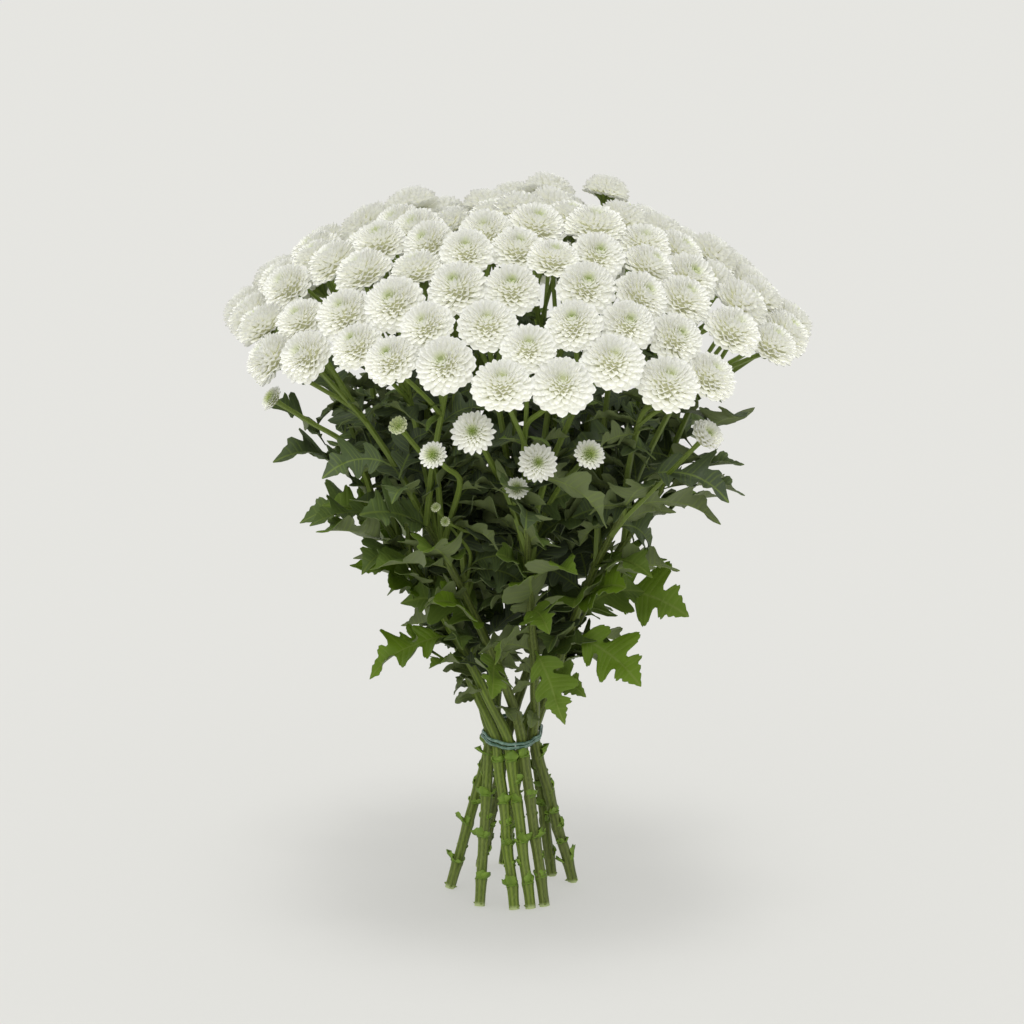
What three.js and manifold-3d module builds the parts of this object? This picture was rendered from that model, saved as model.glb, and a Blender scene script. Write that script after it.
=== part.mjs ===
// A tied bunch of nine stems of white pompon spray chrysanthemum, standing on its cut ends.
// Millimetres, +Z up. While it is built the middle of the tie is above x = 0, y = 0.
import * as THREE from 'three';
import Module from 'manifold-3d';

const wasm = await Module();
wasm.setup();

const DEG = Math.PI / 180;

// Stems: azimuth of each one at its cut end, at the tie and at the crown, in degrees.
// They all turn the same way round the bunch, as in a spiral hand-tied bouquet.
const STEMS = [
  { foot: 121, tie: 95, crown: 35, footRadius: 43 },
  { foot: 185, tie: 140, crown: 75, footRadius: 43 },
  { foot: 239, tie: 190, crown: 115, footRadius: 43 },
  { foot: 272, tie: 225, crown: 155, footRadius: 43 },
  { foot: 287, tie: 260, crown: 195, footRadius: 43 },
  { foot: 301, tie: 295, crown: 235, footRadius: 43 },
  { foot: 371, tie: 335, crown: 275, footRadius: 43 },
  { foot: 396, tie: 375, crown: 315, footRadius: 34 },
  { foot: 458, tie: 415, crown: 355, footRadius: 43 },
];
const TIE_HEIGHT = 113;
const TIE_RING = 15;          // radius of the ring of stem centres inside the tie
const CROWN_HEIGHT = 300;
const SWIRL = 55;             // rise over which most of the turn above the tie happens
const SPLAY = 0.30;           // outward slope of the stems just above the tie
const SPLAY_GROWTH = 0.0011;
const STEM_RADIUS = 3.5;
const STEM_SIDES = 5;
const NODE_SPACING = 27;      // between the rings where leaves were torn off
const NODE_SWELL = 0.8;
const STUB_LENGTH = 4;
const STUB_RISE = 2;
const STUB_SIDE = Math.cos(Math.PI / STEM_SIDES);

// Tie: two strands side by side, lower at the front.
const TIE_STRAND = 1.9;
const TIE_HALF_WIDTH = 2.1;
const TIE_DIP = 10 * DEG;
const TIE_SAMPLES = 26;
const TIE_GAP = 0.4;
const GAP = 0.3;              // between a head and its stalk

// Flower dome
const TRUSS_COUNT = 37;
const BLOOM_RADIUS = 18.3;
const BLOOM_VARIATION = 0.09;
const DOME_RADIUS = 184;
const DOME_RISE = 110;
const DOME_POWER = 2.5;       // above 2 the dome is flatter on top and fuller at the shoulder
const RIM_HEIGHT = 354;
const RIM_RADIUS = 181;
const LIFT = 9;               // up and down scatter of the groups on the dome
const REACH_SCATTER = 5;
const RIM_TILT = 48 * DEG;    // of the blooms at the rim, away from the middle
const PETALS = 7;             // in each tier of a bloom
const TOUCH = 3.9;            // how far blooms of one group reach into each other
const CLEARANCE = -0.2;       // between blooms of different groups
const HEIGHT_WEIGHT = 1.5;    // of a difference in height, against one in place
const LONE_HEIGHT_WEIGHT = 0.5;
const SETTLE_ROUNDS = 240;
const SETTLE_SHARE = 0.25;    // of a pair's overlap, moved away by each bloom in one round
const SPIRAL_POWER = 0.43;    // under 0.5, since a step across the steep rim covers more dome
const HEAD_SPACING = 1.15;    // radii from the middle of a group to its heads, at first
const GOLDEN_ANGLE = 137.50776 * DEG;

// Flower heads that stand alone: place on the photo's near side, radius and tilt.
const LONE_BLOOMS = [
  { name: 'bloom_low_left', x: -49, y: -150, z: 348, radius: 9.5, tilt: 60 },
  { name: 'bloom_low_left_large', x: -24, y: -158, z: 365, radius: 14.5, tilt: 62 },
  { name: 'bloom_low_middle', x: 16, y: -152, z: 344, radius: 13, tilt: 70 },
  { name: 'bloom_low_right', x: 48, y: -145, z: 347, radius: 10.5, tilt: 58 },
  { name: 'bloom_half_open', x: 122, y: -113, z: 350, radius: 11, tilt: 45 },
  { name: 'bloom_low_far_left', x: -153, y: -85, z: 368, radius: 9, tilt: 55 },
  { name: 'bloom_high', x: 63, y: 60, z: 474, radius: 15.5, tilt: 22 },
];

// Unopened buds, part of the stem that carries them.
const BUDS = [
  { x: -70, y: -135, z: 362, radius: 7.5, tilt: 50 },
  { x: 3, y: -133, z: 322, radius: 7.6, tilt: 62 },
  { x: -48, y: -112, z: 303, radius: 3.8, tilt: 50 },
  { x: -42, y: -112, z: 294, radius: 3.8, tilt: 65 },
];

// Leaves that show plainly in the photo: stem, height, heading, rise, length, roll in degrees
const FEATURE_LEAVES = [
  { stem: 8, z: 214, heading: 348, rise: 8, length: 66, roll: 62 },
  { stem: 7, z: 190, heading: 338, rise: -8, length: 60, roll: 55 },
  { stem: 6, z: 186, heading: 302, rise: -30, length: 56, roll: 48 },
  { stem: 4, z: 188, heading: 192, rise: 2, length: 66, roll: -16 },
  { stem: 3, z: 262, heading: 184, rise: 14, length: 68, roll: -14 },
  { stem: 8, z: 286, heading: 340, rise: 24, length: 58, roll: -12 },
];
const FIRST_LEAF = 168;
const LEAF_SPACING = 38;
const LEAF_LENGTHS = [50, 64, 68, 62];
const LEAF_RISES = [24, 52, 40, 56];
const LEAF_THICKNESS = 0.8;
const LEAF_DROOP = 45;        // degrees that a leaf bends down from root to tip
const LEAF_FOLD = 0.22;       // rise of each half towards its edge
const LEAF_SIDE = 18;         // degrees from its stem's bearing, to one side and then the other
const LEAF_TURNS = 8;         // steps by which a leaf may turn down to clear the blooms
const LEAF_TURN_DOWN = 10;
const SIDE_CLEARANCE = 1.1;   // from a leaf to the middle between two stems

// Seeded random numbers between 0 and 1
class Random {
  constructor(seed) {
    this.state = seed;
  }

  next() {
    this.state = (Math.imul(this.state, 1664525) + 1013904223) >>> 0;
    return this.state / 4294967296;
  }

  spread(amount) {
    return (this.next() * 2 - 1) * amount;
  }
}

function polar(radius, azimuth, z) {
  return new THREE.Vector3(radius * Math.cos(azimuth), radius * Math.sin(azimuth), z);
}

function axisFrom(azimuth, tilt) {
  return polar(Math.sin(tilt), azimuth, Math.cos(tilt));
}

// Middle of a stem at a height: straight below the tie, splaying and turning above it
function stemAzimuth(stem, z) {
  const full = 1 - Math.exp((TIE_HEIGHT - CROWN_HEIGHT) / SWIRL);
  const turned = (1 - Math.exp((TIE_HEIGHT - z) / SWIRL)) / full;
  return (stem.tie + (stem.crown - stem.tie) * turned) * DEG;
}

function stemReach(z) {
  const rise = z - TIE_HEIGHT;
  return TIE_RING + SPLAY * rise + SPLAY_GROWTH * rise * rise;
}

function stemPoint(stem, z) {
  if (z >= TIE_HEIGHT) {
    return polar(stemReach(z), stemAzimuth(stem, z), z);
  }
  const foot = polar(stem.footRadius, stem.foot * DEG, 0);
  const tie = polar(TIE_RING, stem.tie * DEG, TIE_HEIGHT);
  return foot.lerp(tie, z / TIE_HEIGHT);
}

// Solids
function toSolid(vertices, triangles) {
  const vertProperties = new Float32Array(vertices.flatMap((p) => [p.x, p.y, p.z]));
  const triVerts = new Uint32Array(triangles.flat());
  return new wasm.Manifold(new wasm.Mesh({ numProp: 3, vertProperties, triVerts }));
}

function toMesh(solid, name, material) {
  const data = solid.getMesh();
  const geometry = new THREE.BufferGeometry();
  geometry.setAttribute('position', new THREE.BufferAttribute(data.vertProperties, 3));
  geometry.setIndex(new THREE.BufferAttribute(data.triVerts, 1));
  geometry.computeVertexNormals();
  const mesh = new THREE.Mesh(geometry, material);
  mesh.name = name;
  return mesh;
}

// One body: a hollow that the fusing seals counts as a part of its own, and is left out
function joined(solids) {
  const whole = solids.reduce((sum, solid) => sum.add(solid));
  const parts = whole.decompose();
  return parts.reduce((largest, part) => (part.volume() > largest.volume() ? part : largest));
}

// A stalk: rings of a few sides across a line of points, closed at both ends. shape may move
// a corner of a ring.
function stalk(points, radii, sides, shape = () => {}) {
  const vertices = [];
  const triangles = [];
  let across = new THREE.Vector3(1, 0, 0);
  points.forEach((point, k) => {
    const before = points[Math.max(k - 1, 0)];
    const after = points[Math.min(k + 1, points.length - 1)];
    const along = after.clone().sub(before).normalize();
    across = across.clone().addScaledVector(along, -across.dot(along)).normalize();
    const side = along.clone().cross(across);
    for (let i = 0; i < sides; i += 1) {
      const angle = (i / sides) * 2 * Math.PI;
      const corner = point.clone();
      corner.addScaledVector(across, radii[k] * Math.cos(angle));
      corner.addScaledVector(side, radii[k] * Math.sin(angle));
      shape(corner, point, along, k);
      vertices.push(corner);
    }
  });
  for (let k = 0; k + 1 < points.length; k += 1) {
    for (let i = 0; i < sides; i += 1) {
      const a = k * sides + i;
      const b = k * sides + ((i + 1) % sides);
      triangles.push([a, b, a + sides], [b, b + sides, a + sides]);
    }
  }
  const last = (points.length - 1) * sides;
  for (let i = 1; i + 1 < sides; i += 1) {
    triangles.push([0, i + 1, i], [last, last + i, last + i + 1]);
  }
  return toSolid(vertices, triangles);
}

// Two directions across an axis, the first one level
function frameAcross(axis) {
  const across = new THREE.Vector3(0, 0, 1).cross(axis);
  if (across.length() < 1e-6) {
    across.set(1, 0, 0);
  }
  across.normalize();
  return { across, side: axis.clone().cross(across) };
}

// A head raised by tiers: the tips of each one are half a step round from those of the tier
// below, the underside narrows to the stalk and the top closes on a sunken middle.
function head(centre, axis, radius, shape, petals, turn) {
  const { across, side } = frameAcross(axis);
  const vertices = [];
  const triangles = [];
  shape.tiers.forEach(([reach, height], tier) => {
    for (let i = 0; i < petals; i += 1) {
      const angle = turn + ((i + (tier % 2) / 2) / petals) * 2 * Math.PI;
      const tip = centre.clone().addScaledVector(axis, height * radius);
      tip.addScaledVector(across, reach * radius * Math.cos(angle));
      tip.addScaledVector(side, reach * radius * Math.sin(angle));
      vertices.push(tip);
    }
  });
  for (let tier = 0; tier + 1 < shape.tiers.length; tier += 1) {
    for (let i = 0; i < petals; i += 1) {
      const next = (i + 1) % petals;
      const low = tier * petals;
      const high = low + petals;
      if (tier % 2 === 0) {
        triangles.push([low + i, low + next, high + i], [low + next, high + next, high + i]);
      } else {
        triangles.push([low + i, high + next, high + i], [low + i, low + next, high + next]);
      }
    }
  }
  const top = (shape.tiers.length - 1) * petals;
  const middle = vertices.length;
  const base = middle + 1;
  vertices.push(centre.clone().addScaledVector(axis, shape.middle * radius));
  vertices.push(centre.clone().addScaledVector(axis, shape.base * radius));
  for (let i = 0; i < petals; i += 1) {
    const next = (i + 1) % petals;
    triangles.push([top + i, top + next, middle], [next, i, base]);
  }
  return toSolid(vertices, triangles);
}

// Tiers of petal tips and notches as [reach, height], for a head of radius 1
const BLOOM_SHAPE = { base: -0.3, tiers: [[1, 0.02], [0.76, 0.26], [0.64, 0.58]], middle: 0.48 };
const BUD_SHAPE = { base: -0.9, tiers: [[1, -0.1], [0.78, 0.5]], middle: 0.3 };

function bloomSolid(bloom) {
  const centre = new THREE.Vector3(bloom.x, bloom.y, bloom.z);
  return head(centre, bloom.axis, bloom.radius, BLOOM_SHAPE, PETALS, bloom.turn);
}

// Blooms: groups of three start on a golden-angle spiral, then push apart on the dome. The
// heads of one group stand in one plane across its axis.
function domeAxis(x, y) {
  return axisFrom(Math.atan2(y, x), RIM_TILT * (Math.hypot(x, y) / RIM_RADIUS));
}

function placeGroup(group) {
  group.forEach((bloom) => {
    const inward = Math.min(1, RIM_RADIUS / Math.hypot(bloom.x, bloom.y));
    bloom.x *= inward;
    bloom.y *= inward;
  });
  const x = group.reduce((sum, bloom) => sum + bloom.x, 0) / group.length;
  const y = group.reduce((sum, bloom) => sum + bloom.y, 0) / group.length;
  const axis = domeAxis(x, y);
  const middle = (1 - (Math.hypot(x, y) / DOME_RADIUS) ** DOME_POWER) ** (1 / DOME_POWER);
  const z = RIM_HEIGHT + DOME_RISE * middle + group[0].lift;
  group.forEach((bloom) => {
    bloom.z = z - ((bloom.x - x) * axis.x + (bloom.y - y) * axis.y) / axis.z;
    bloom.axis = domeAxis(bloom.x, bloom.y);
  });
}

// Offset from one bloom to another: its part across their axes and its part along them
function apart(p, q) {
  const between = new THREE.Vector3(q.x - p.x, q.y - p.y, q.z - p.z);
  const axis = p.axis.clone().add(q.axis).normalize();
  const along = between.dot(axis);
  const across = between.clone().addScaledVector(axis, -along);
  const weight = p.group && q.group ? HEIGHT_WEIGHT : LONE_HEIGHT_WEIGHT;
  return { across, distance: Math.hypot(across.length(), weight * along) };
}

// Turns a bloom on its stalk until it points a notch at the middle of its group, so that its
// petal tips meet those of its neighbours
function faceMiddle(bloom) {
  const middle = new THREE.Vector3();
  bloom.group.forEach(({ x, y, z }) => middle.add(new THREE.Vector3(x, y, z).sub(bloom)));
  const { across, side } = frameAcross(bloom.axis);
  bloom.turn = Math.atan2(middle.dot(side), middle.dot(across));
}

function nudge(bloom, across, share) {
  if (bloom.group !== undefined) {
    bloom.x += across.x * share;
    bloom.y += across.y * share;
  }
}

function layOutBlooms(random) {
  const groups = [];
  for (let k = 0; k < TRUSS_COUNT; k += 1) {
    const group = [];
    const reach = RIM_RADIUS * ((k + 0.5) / TRUSS_COUNT) ** SPIRAL_POWER + random.spread(REACH_SCATTER);
    const azimuth = k * GOLDEN_ANGLE;
    const lift = random.spread(LIFT);
    const turn = random.next() * 2 * Math.PI;
    for (let j = 0; j < 3; j += 1) {
      const radius = BLOOM_RADIUS * (1 + random.spread(BLOOM_VARIATION));
      const bearing = turn + (j * 2 * Math.PI) / 3;
      const x = reach * Math.cos(azimuth) + HEAD_SPACING * radius * Math.cos(bearing);
      const y = reach * Math.sin(azimuth) + HEAD_SPACING * radius * Math.sin(bearing);
      group.push({ x, y, radius, group, lift });
    }
    groups.push(group);
  }
  groups.forEach(placeGroup);
  const lone = LONE_BLOOMS.map((bloom) => {
    const axis = axisFrom(Math.atan2(bloom.y, bloom.x), bloom.tilt * DEG);
    return { ...bloom, axis };
  });
  const all = [...groups.flat(), ...lone];
  for (let round = 0; round < SETTLE_ROUNDS; round += 1) {
    for (let i = 0; i < all.length; i += 1) {
      for (let j = i + 1; j < all.length; j += 1) {
        const p = all[i];
        const q = all[j];
        const together = p.group !== undefined && p.group === q.group;
        const touching = together && (p === p.group[1] || q === p.group[1]);
        const { across, distance } = apart(p, q);
        const wanted = p.radius + q.radius + (touching ? -TOUCH : CLEARANCE);
        if (distance < wanted || together) {
          const share = (SETTLE_SHARE * (distance - wanted)) / Math.max(across.length(), 1);
          nudge(p, across, share);
          nudge(q, across, -share);
        }
      }
    }
    groups.forEach(placeGroup);
  }
  groups.flat().forEach(faceMiddle);
  lone.forEach((bloom) => {
    bloom.turn = random.next() * 2 * Math.PI;
  });
  return { groups, lone };
}

// The stem whose crown is nearest in azimuth
function nearestStem(x, y) {
  const azimuth = Math.atan2(y, x);
  const turns = STEMS.map((stem) => Math.cos(azimuth - stem.crown * DEG));
  return turns.indexOf(Math.max(...turns));
}

// A side branch keeps to its own stem's side of the bunch: its bearing from the stem grows
// evenly with height, and its reach follows the stem's splay at first.
const BRANCH_STEPS = 2;
const BRANCH_ROOT_RADIUS = 2.7;
const STALK_RADIUS = 2;
const LOWEST_BRANCH = 160;
const BRANCH_RISE = 0.96;     // of a branch's root, for each step that its fork is further out
const SHORTEST_BRANCH = 30;
const FORK_DEPTH = 62;        // below the middle of its heads
const FORK_SCATTER = 8;
const FORK_STEP = 7;          // between the places where the stalks of one group leave

function branchPoints(stem, fork, endSlope) {
  const reach = Math.hypot(fork.x, fork.y);
  const rootHeight = Math.min(LOWEST_BRANCH + BRANCH_RISE * reach, fork.z - SHORTEST_BRANCH);
  const rise = fork.z - rootHeight;
  const startReach = stemReach(rootHeight);
  const startSlope = SPLAY + 2 * SPLAY_GROWTH * (rootHeight - TIE_HEIGHT);
  const bearing = Math.atan2(fork.y, fork.x) - stemAzimuth(stem, fork.z);
  const offset = Math.atan2(Math.sin(bearing), Math.cos(bearing));
  const points = [];
  for (let step = 0; step <= BRANCH_STEPS; step += 1) {
    const u = step / BRANCH_STEPS;
    const z = rootHeight + rise * u;
    const ease = u * u * (3 - 2 * u);
    const leave = u * (1 - u) * (1 - u) * startSlope * rise;
    const arrive = u * u * (u - 1) * endSlope * rise;
    const radius = startReach + (reach - startReach) * ease + leave + arrive;
    points.push(polar(radius, stemAzimuth(stem, z) + offset * u, z));
  }
  return points;
}

// Under a head a stalk widens to its flat top
const STALK_TOP = 0.2;        // of the bloom's radius

function stalkTop(bloom) {
  const centre = new THREE.Vector3(bloom.x, bloom.y, bloom.z);
  return centre.addScaledVector(bloom.axis, BLOOM_SHAPE.base * bloom.radius - GAP);
}

// A branch runs on into the stalk of the first head of its group, and the stalks of the
// others leave it one below the other
function spraySolid(stem, spray) {
  const points = branchPoints(stem, spray.fork, spray.slope);
  const taper = (STALK_RADIUS - BRANCH_ROOT_RADIUS) / BRANCH_STEPS;
  const radii = points.map((point, k) => BRANCH_ROOT_RADIUS + taper * k);
  const solids = [];
  const [first, ...others] = spray.blooms;
  if (first.bud) {
    const tip = new THREE.Vector3(first.x, first.y, first.z);
    solids.push(stalk([...points, tip], [...radii, STALK_RADIUS], 3));
    solids.push(head(tip, first.axis, first.radius, BUD_SHAPE, 5, 0));
  } else {
    solids.push(stalk([...points, stalkTop(first)], [...radii, STALK_TOP * first.radius], 3));
  }
  const [before, fork] = points.slice(-2);
  const down = before.clone().sub(fork).normalize();
  others.forEach((bloom, k) => {
    const root = fork.clone().addScaledVector(down, FORK_STEP * (k + 1));
    solids.push(stalk([root, stalkTop(bloom)], [STALK_RADIUS, STALK_TOP * bloom.radius], 3));
  });
  return { solid: joined(solids), rootHeight: points[0].z };
}

// Leaves: half outline as [along, across] for a length of 1, in from the root to the tip
const HALF_OUTLINE = [[0.2, 0.04], [0.4, 0.25], [0.5, 0.11], [0.7, 0.34], [0.78, 0.15]];
const MIDRIB = [0.36, 0.68];
// Triangles of one half: 0 root, 1 to 5 half outline, 6 tip, 7 and 8 midrib
const HALF_TRIANGLES = [[0, 7, 1], [1, 7, 2], [7, 3, 2], [7, 8, 3], [3, 8, 4], [8, 5, 4], [8, 6, 5]];

// Keeps a point of a leaf on its own stem's side of the bunch
function keepToSide(point, index) {
  const stem = STEMS[index];
  const height = Math.max(point.z, TIE_HEIGHT);
  const own = stemAzimuth(stem, height);
  const difference = Math.atan2(point.y, point.x) - own;
  const offset = Math.atan2(Math.sin(difference), Math.cos(difference));
  const neighbour = STEMS[(index + (offset > 0 ? 1 : STEMS.length - 1)) % STEMS.length];
  const between = Math.cos(stemAzimuth(neighbour, height) - own);
  const reach = Math.hypot(point.x, point.y);
  const limit = Math.acos(between) / 2 - Math.asin(Math.min(SIDE_CLEARANCE / reach, 0.3));
  const held = limit * Math.tanh(offset / limit);
  return polar(reach, own + held, point.z);
}

function leafSurface(leaf) {
  const stem = STEMS[leaf.stem];
  const root = stemPoint(stem, leaf.z);
  const out = polar(1, leaf.heading * DEG, 0);
  const level = new THREE.Vector3(0, 0, 1).cross(out);
  const roll = leaf.roll * DEG;
  const place = (along, across) => {
    const rise = (leaf.rise - 0.5 * LEAF_DROOP * along) * DEG;
    const endRise = (leaf.rise - LEAF_DROOP * along) * DEG;
    const point = root.clone().addScaledVector(out, leaf.length * along * Math.cos(rise));
    point.z += leaf.length * along * Math.sin(rise);
    const up = out.clone().multiplyScalar(-Math.sin(endRise));
    up.z = Math.cos(endRise);
    const fold = LEAF_FOLD * Math.abs(across) + 0.05 * Math.sin(11 * along);
    const width = level.clone().multiplyScalar(Math.cos(roll)).addScaledVector(up, Math.sin(roll));
    const lift = up.clone().multiplyScalar(Math.cos(roll)).addScaledVector(level, -Math.sin(roll));
    point.addScaledVector(width, leaf.length * across);
    point.addScaledVector(lift, leaf.length * fold * (across === 0 ? 0 : 1));
    return keepToSide(point, leaf.stem);
  };
  const left = HALF_OUTLINE.map(([along, across]) => place(along, across));
  const right = HALF_OUTLINE.map(([along, across]) => place(along, -across));
  const rib = MIDRIB.map((along) => place(along, 0));
  return { root: place(0, 0), tip: place(1, 0), left, right, rib };
}

// A blade of even thickness: both faces are split into the same triangles
function leafSolid(leaf) {
  const { root, tip, left, right, rib } = leafSurface(leaf);
  const surface = [root, ...left, tip, ...rib, ...right];
  const mirror = (i) => (i >= 1 && i <= 5 ? i + 8 : i);
  const faces = [
    ...HALF_TRIANGLES,
    ...HALF_TRIANGLES.map(([a, b, c]) => [mirror(a), mirror(c), mirror(b)]),
  ];
  const normals = surface.map(() => new THREE.Vector3());
  faces.forEach(([a, b, c]) => {
    const ab = surface[b].clone().sub(surface[a]);
    const ac = surface[c].clone().sub(surface[a]);
    const normal = ab.cross(ac);
    [a, b, c].forEach((i) => normals[i].add(normal));
  });
  const count = surface.length;
  const half = LEAF_THICKNESS / 2;
  const top = surface.map((p, i) => p.clone().addScaledVector(normals[i].normalize(), half));
  const bottom = surface.map((p, i) => p.clone().addScaledVector(normals[i], -half));
  const edge = [0, 9, 10, 11, 12, 13, 6, 5, 4, 3, 2, 1];
  const triangles = [...faces, ...faces.map(([a, b, c]) => [a + count, c + count, b + count])];
  edge.forEach((a, k) => {
    const b = edge[(k + 1) % edge.length];
    triangles.push([a, a + count, b], [b, a + count, b + count]);
  });
  return toSolid([...top, ...bottom], triangles);
}

// Turns a leaf down until none of its points is inside a bloom
function clearOfBlooms(leaf, blooms) {
  const inBloom = (point) => blooms.some((bloom) => {
    const away = Math.hypot(point.x - bloom.x, point.y - bloom.y, point.z - bloom.z);
    return away < bloom.radius + 2;
  });
  const placed = { ...leaf };
  for (let attempt = 0; attempt < LEAF_TURNS; attempt += 1) {
    const { tip, left, right, rib } = leafSurface(placed);
    if (![tip, ...left, ...right, ...rib].some(inBloom)) {
      break;
    }
    placed.rise -= LEAF_TURN_DOWN;
  }
  return placed;
}

function ruleLeaves(random) {
  const leaves = [];
  STEMS.forEach((stem, index) => {
    for (let j = 0; j < LEAF_LENGTHS.length; j += 1) {
      const z = FIRST_LEAF + LEAF_SPACING * j + random.spread(10);
      const side = j % 2 === 0 ? LEAF_SIDE : -LEAF_SIDE;
      leaves.push({
        stem: index,
        z,
        heading: stemAzimuth(stem, z) / DEG + side + random.spread(8),
        rise: LEAF_RISES[j] + random.spread(16),
        length: LEAF_LENGTHS[j] * (1 + random.spread(0.12)),
        roll: random.spread(50),
      });
    }
  });
  return leaves;
}

// One stem: main stalk with rings and torn stubs, branches, flower stalks, buds and leaves
function stemSolid(index, sprays, leaves, random) {
  const stem = STEMS[index];
  const solids = [];
  let top = Math.max(...leaves.map((leaf) => leaf.z));
  sprays.forEach((spray) => {
    const { solid, rootHeight } = spraySolid(stem, spray);
    top = Math.max(top, rootHeight);
    solids.push(solid);
  });
  leaves.forEach((leaf) => solids.push(leafSolid(leaf)));

  const rings = [{ z: 0, radius: STEM_RADIUS }];
  const lowestNode = 14 + random.next() * 6;
  for (let node = lowestNode; node < TIE_HEIGHT - 12; node += NODE_SPACING) {
    const middle = stemPoint(stem, node);
    const stub = Math.atan2(middle.y, middle.x) + random.spread(0.4);
    rings.push({ z: node - 3, radius: STEM_RADIUS });
    rings.push({ z: node, radius: STEM_RADIUS + NODE_SWELL, stub });
    rings.push({ z: node + 3, radius: STEM_RADIUS });
  }
  rings.push({ z: TIE_HEIGHT, radius: STEM_RADIUS }, { z: TIE_HEIGHT + 12, radius: STEM_RADIUS });
  for (let z = TIE_HEIGHT + 30; z < top - 10; z += 35) {
    rings.push({ z, radius: STEM_RADIUS - 0.3 });
  }
  rings.push({ z: top + 3, radius: STEM_RADIUS - 1 });
  const points = rings.map(({ z }) => stemPoint(stem, z));
  const radii = rings.map(({ radius }) => radius);
  const main = stalk(points, radii, STEM_SIDES, (corner, point, along, k) => {
    if (k === 0) {
      corner.addScaledVector(along, -corner.z / along.z);
    }
    const outward = corner.clone().sub(point).normalize();
    if (Math.cos(Math.atan2(outward.y, outward.x) - rings[k].stub) > STUB_SIDE) {
      corner.addScaledVector(outward, STUB_LENGTH).addScaledVector(along, STUB_RISE);
    }
  });
  return joined([main, ...solids]);
}

// Where the stalks of a group meet, below its middle
function forkUnder(blooms, random) {
  const middle = new THREE.Vector3();
  const axis = new THREE.Vector3();
  blooms.forEach((bloom) => {
    middle.add(new THREE.Vector3(bloom.x, bloom.y, bloom.z).divideScalar(blooms.length));
    axis.add(bloom.axis);
  });
  axis.normalize();
  const depth = FORK_DEPTH + random.spread(FORK_SCATTER);
  const fork = middle.addScaledVector(axis, -depth);
  return { fork, slope: Math.hypot(axis.x, axis.y) / axis.z, blooms };
}

// The tie follows the outside of the stems, straight from one to the next. Its section has a
// groove between the strands, as [outward, up] in strand widths and half heights.
const TIE_PROFILE = [[-0.5, 0.7], [0.5, 0.9], [0.15, 0], [0.5, -0.9], [-0.5, -0.7]];

function tieSolid() {
  const vertices = [];
  const triangles = [];
  for (let k = 0; k < TIE_SAMPLES; k += 1) {
    const angle = (k / TIE_SAMPLES) * 2 * Math.PI;
    const out = polar(1, angle, 0);
    let best = null;
    STEMS.forEach((stem) => {
      [-TIE_HALF_WIDTH, 0, TIE_HALF_WIDTH].forEach((rise) => {
        const near = stemPoint(stem, TIE_HEIGHT + rise);
        const z = TIE_HEIGHT + Math.tan(TIE_DIP) * near.y;
        const middle = stemPoint(stem, z + rise);
        const slope = stemPoint(stem, z + rise + 1).sub(middle).dot(out);
        const reach = STEM_RADIUS * Math.hypot(1, slope);
        const support = middle.dot(out) + reach;
        if (best === null || support > best.support) {
          best = { support, middle, reach };
        }
      });
    });
    const centre = best.middle.clone().addScaledVector(out, best.reach + TIE_GAP + TIE_STRAND / 2);
    centre.z = TIE_HEIGHT + Math.tan(TIE_DIP) * centre.y;
    TIE_PROFILE.forEach(([outward, up]) => {
      const corner = centre.clone().addScaledVector(out, outward * TIE_STRAND);
      corner.z += up * TIE_HALF_WIDTH;
      vertices.push(corner);
    });
  }
  const size = TIE_PROFILE.length;
  for (let k = 0; k < TIE_SAMPLES; k += 1) {
    const here = k * size;
    const next = ((k + 1) % TIE_SAMPLES) * size;
    for (let i = 0; i < size; i += 1) {
      const j = (i + 1) % size;
      triangles.push([here + i, here + j, next + i], [here + j, next + j, next + i]);
    }
  }
  return toSolid(vertices, triangles);
}

const petalMaterial = new THREE.MeshStandardMaterial({ color: '#f4f4ee', roughness: 0.75, metalness: 0 });
const greenMaterial = new THREE.MeshStandardMaterial({ color: '#54812f', roughness: 0.6, metalness: 0 });
const tieMaterial = new THREE.MeshStandardMaterial({ color: '#3f7f6f', roughness: 0.25, metalness: 0 });

const random = new Random(5);
const { groups, lone } = layOutBlooms(random);
const buds = BUDS.map((bud) => {
  const axis = axisFrom(Math.atan2(bud.y, bud.x), bud.tilt * DEG);
  return { ...bud, axis, bud: true };
});
const sprays = [...groups, ...lone.map((bloom) => [bloom]), ...buds.map((bud) => [bud])];
const forked = sprays.map((group) => forkUnder(group, random));
const everyBloom = [...groups.flat(), ...lone];
const leaves = [...ruleLeaves(random), ...FEATURE_LEAVES].map((leaf) => clearOfBlooms(leaf, everyBloom));

const bunch = new THREE.Group();
STEMS.forEach((stem, index) => {
  const ownSprays = forked.filter(({ fork }) => nearestStem(fork.x, fork.y) === index);
  const ownLeaves = leaves.filter((leaf) => leaf.stem === index);
  const solid = stemSolid(index, ownSprays, ownLeaves, random);
  bunch.add(toMesh(solid, `stem_${index + 1}`, greenMaterial));
});
groups.forEach((group, k) => {
  const solid = joined(group.map(bloomSolid));
  bunch.add(toMesh(solid, `blooms_${String(k + 1).padStart(2, '0')}`, petalMaterial));
});
lone.forEach((bloom) => bunch.add(toMesh(bloomSolid(bloom), bloom.name, petalMaterial)));
bunch.add(toMesh(tieSolid(), 'elastic_tie', tieMaterial));

// Stands in the middle of its own box, on z = 0
const box = new THREE.Box3().setFromObject(bunch);
bunch.position.set(-(box.min.x + box.max.x) / 2, -(box.min.y + box.max.y) / 2, -box.min.z);

export default bunch;
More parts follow.
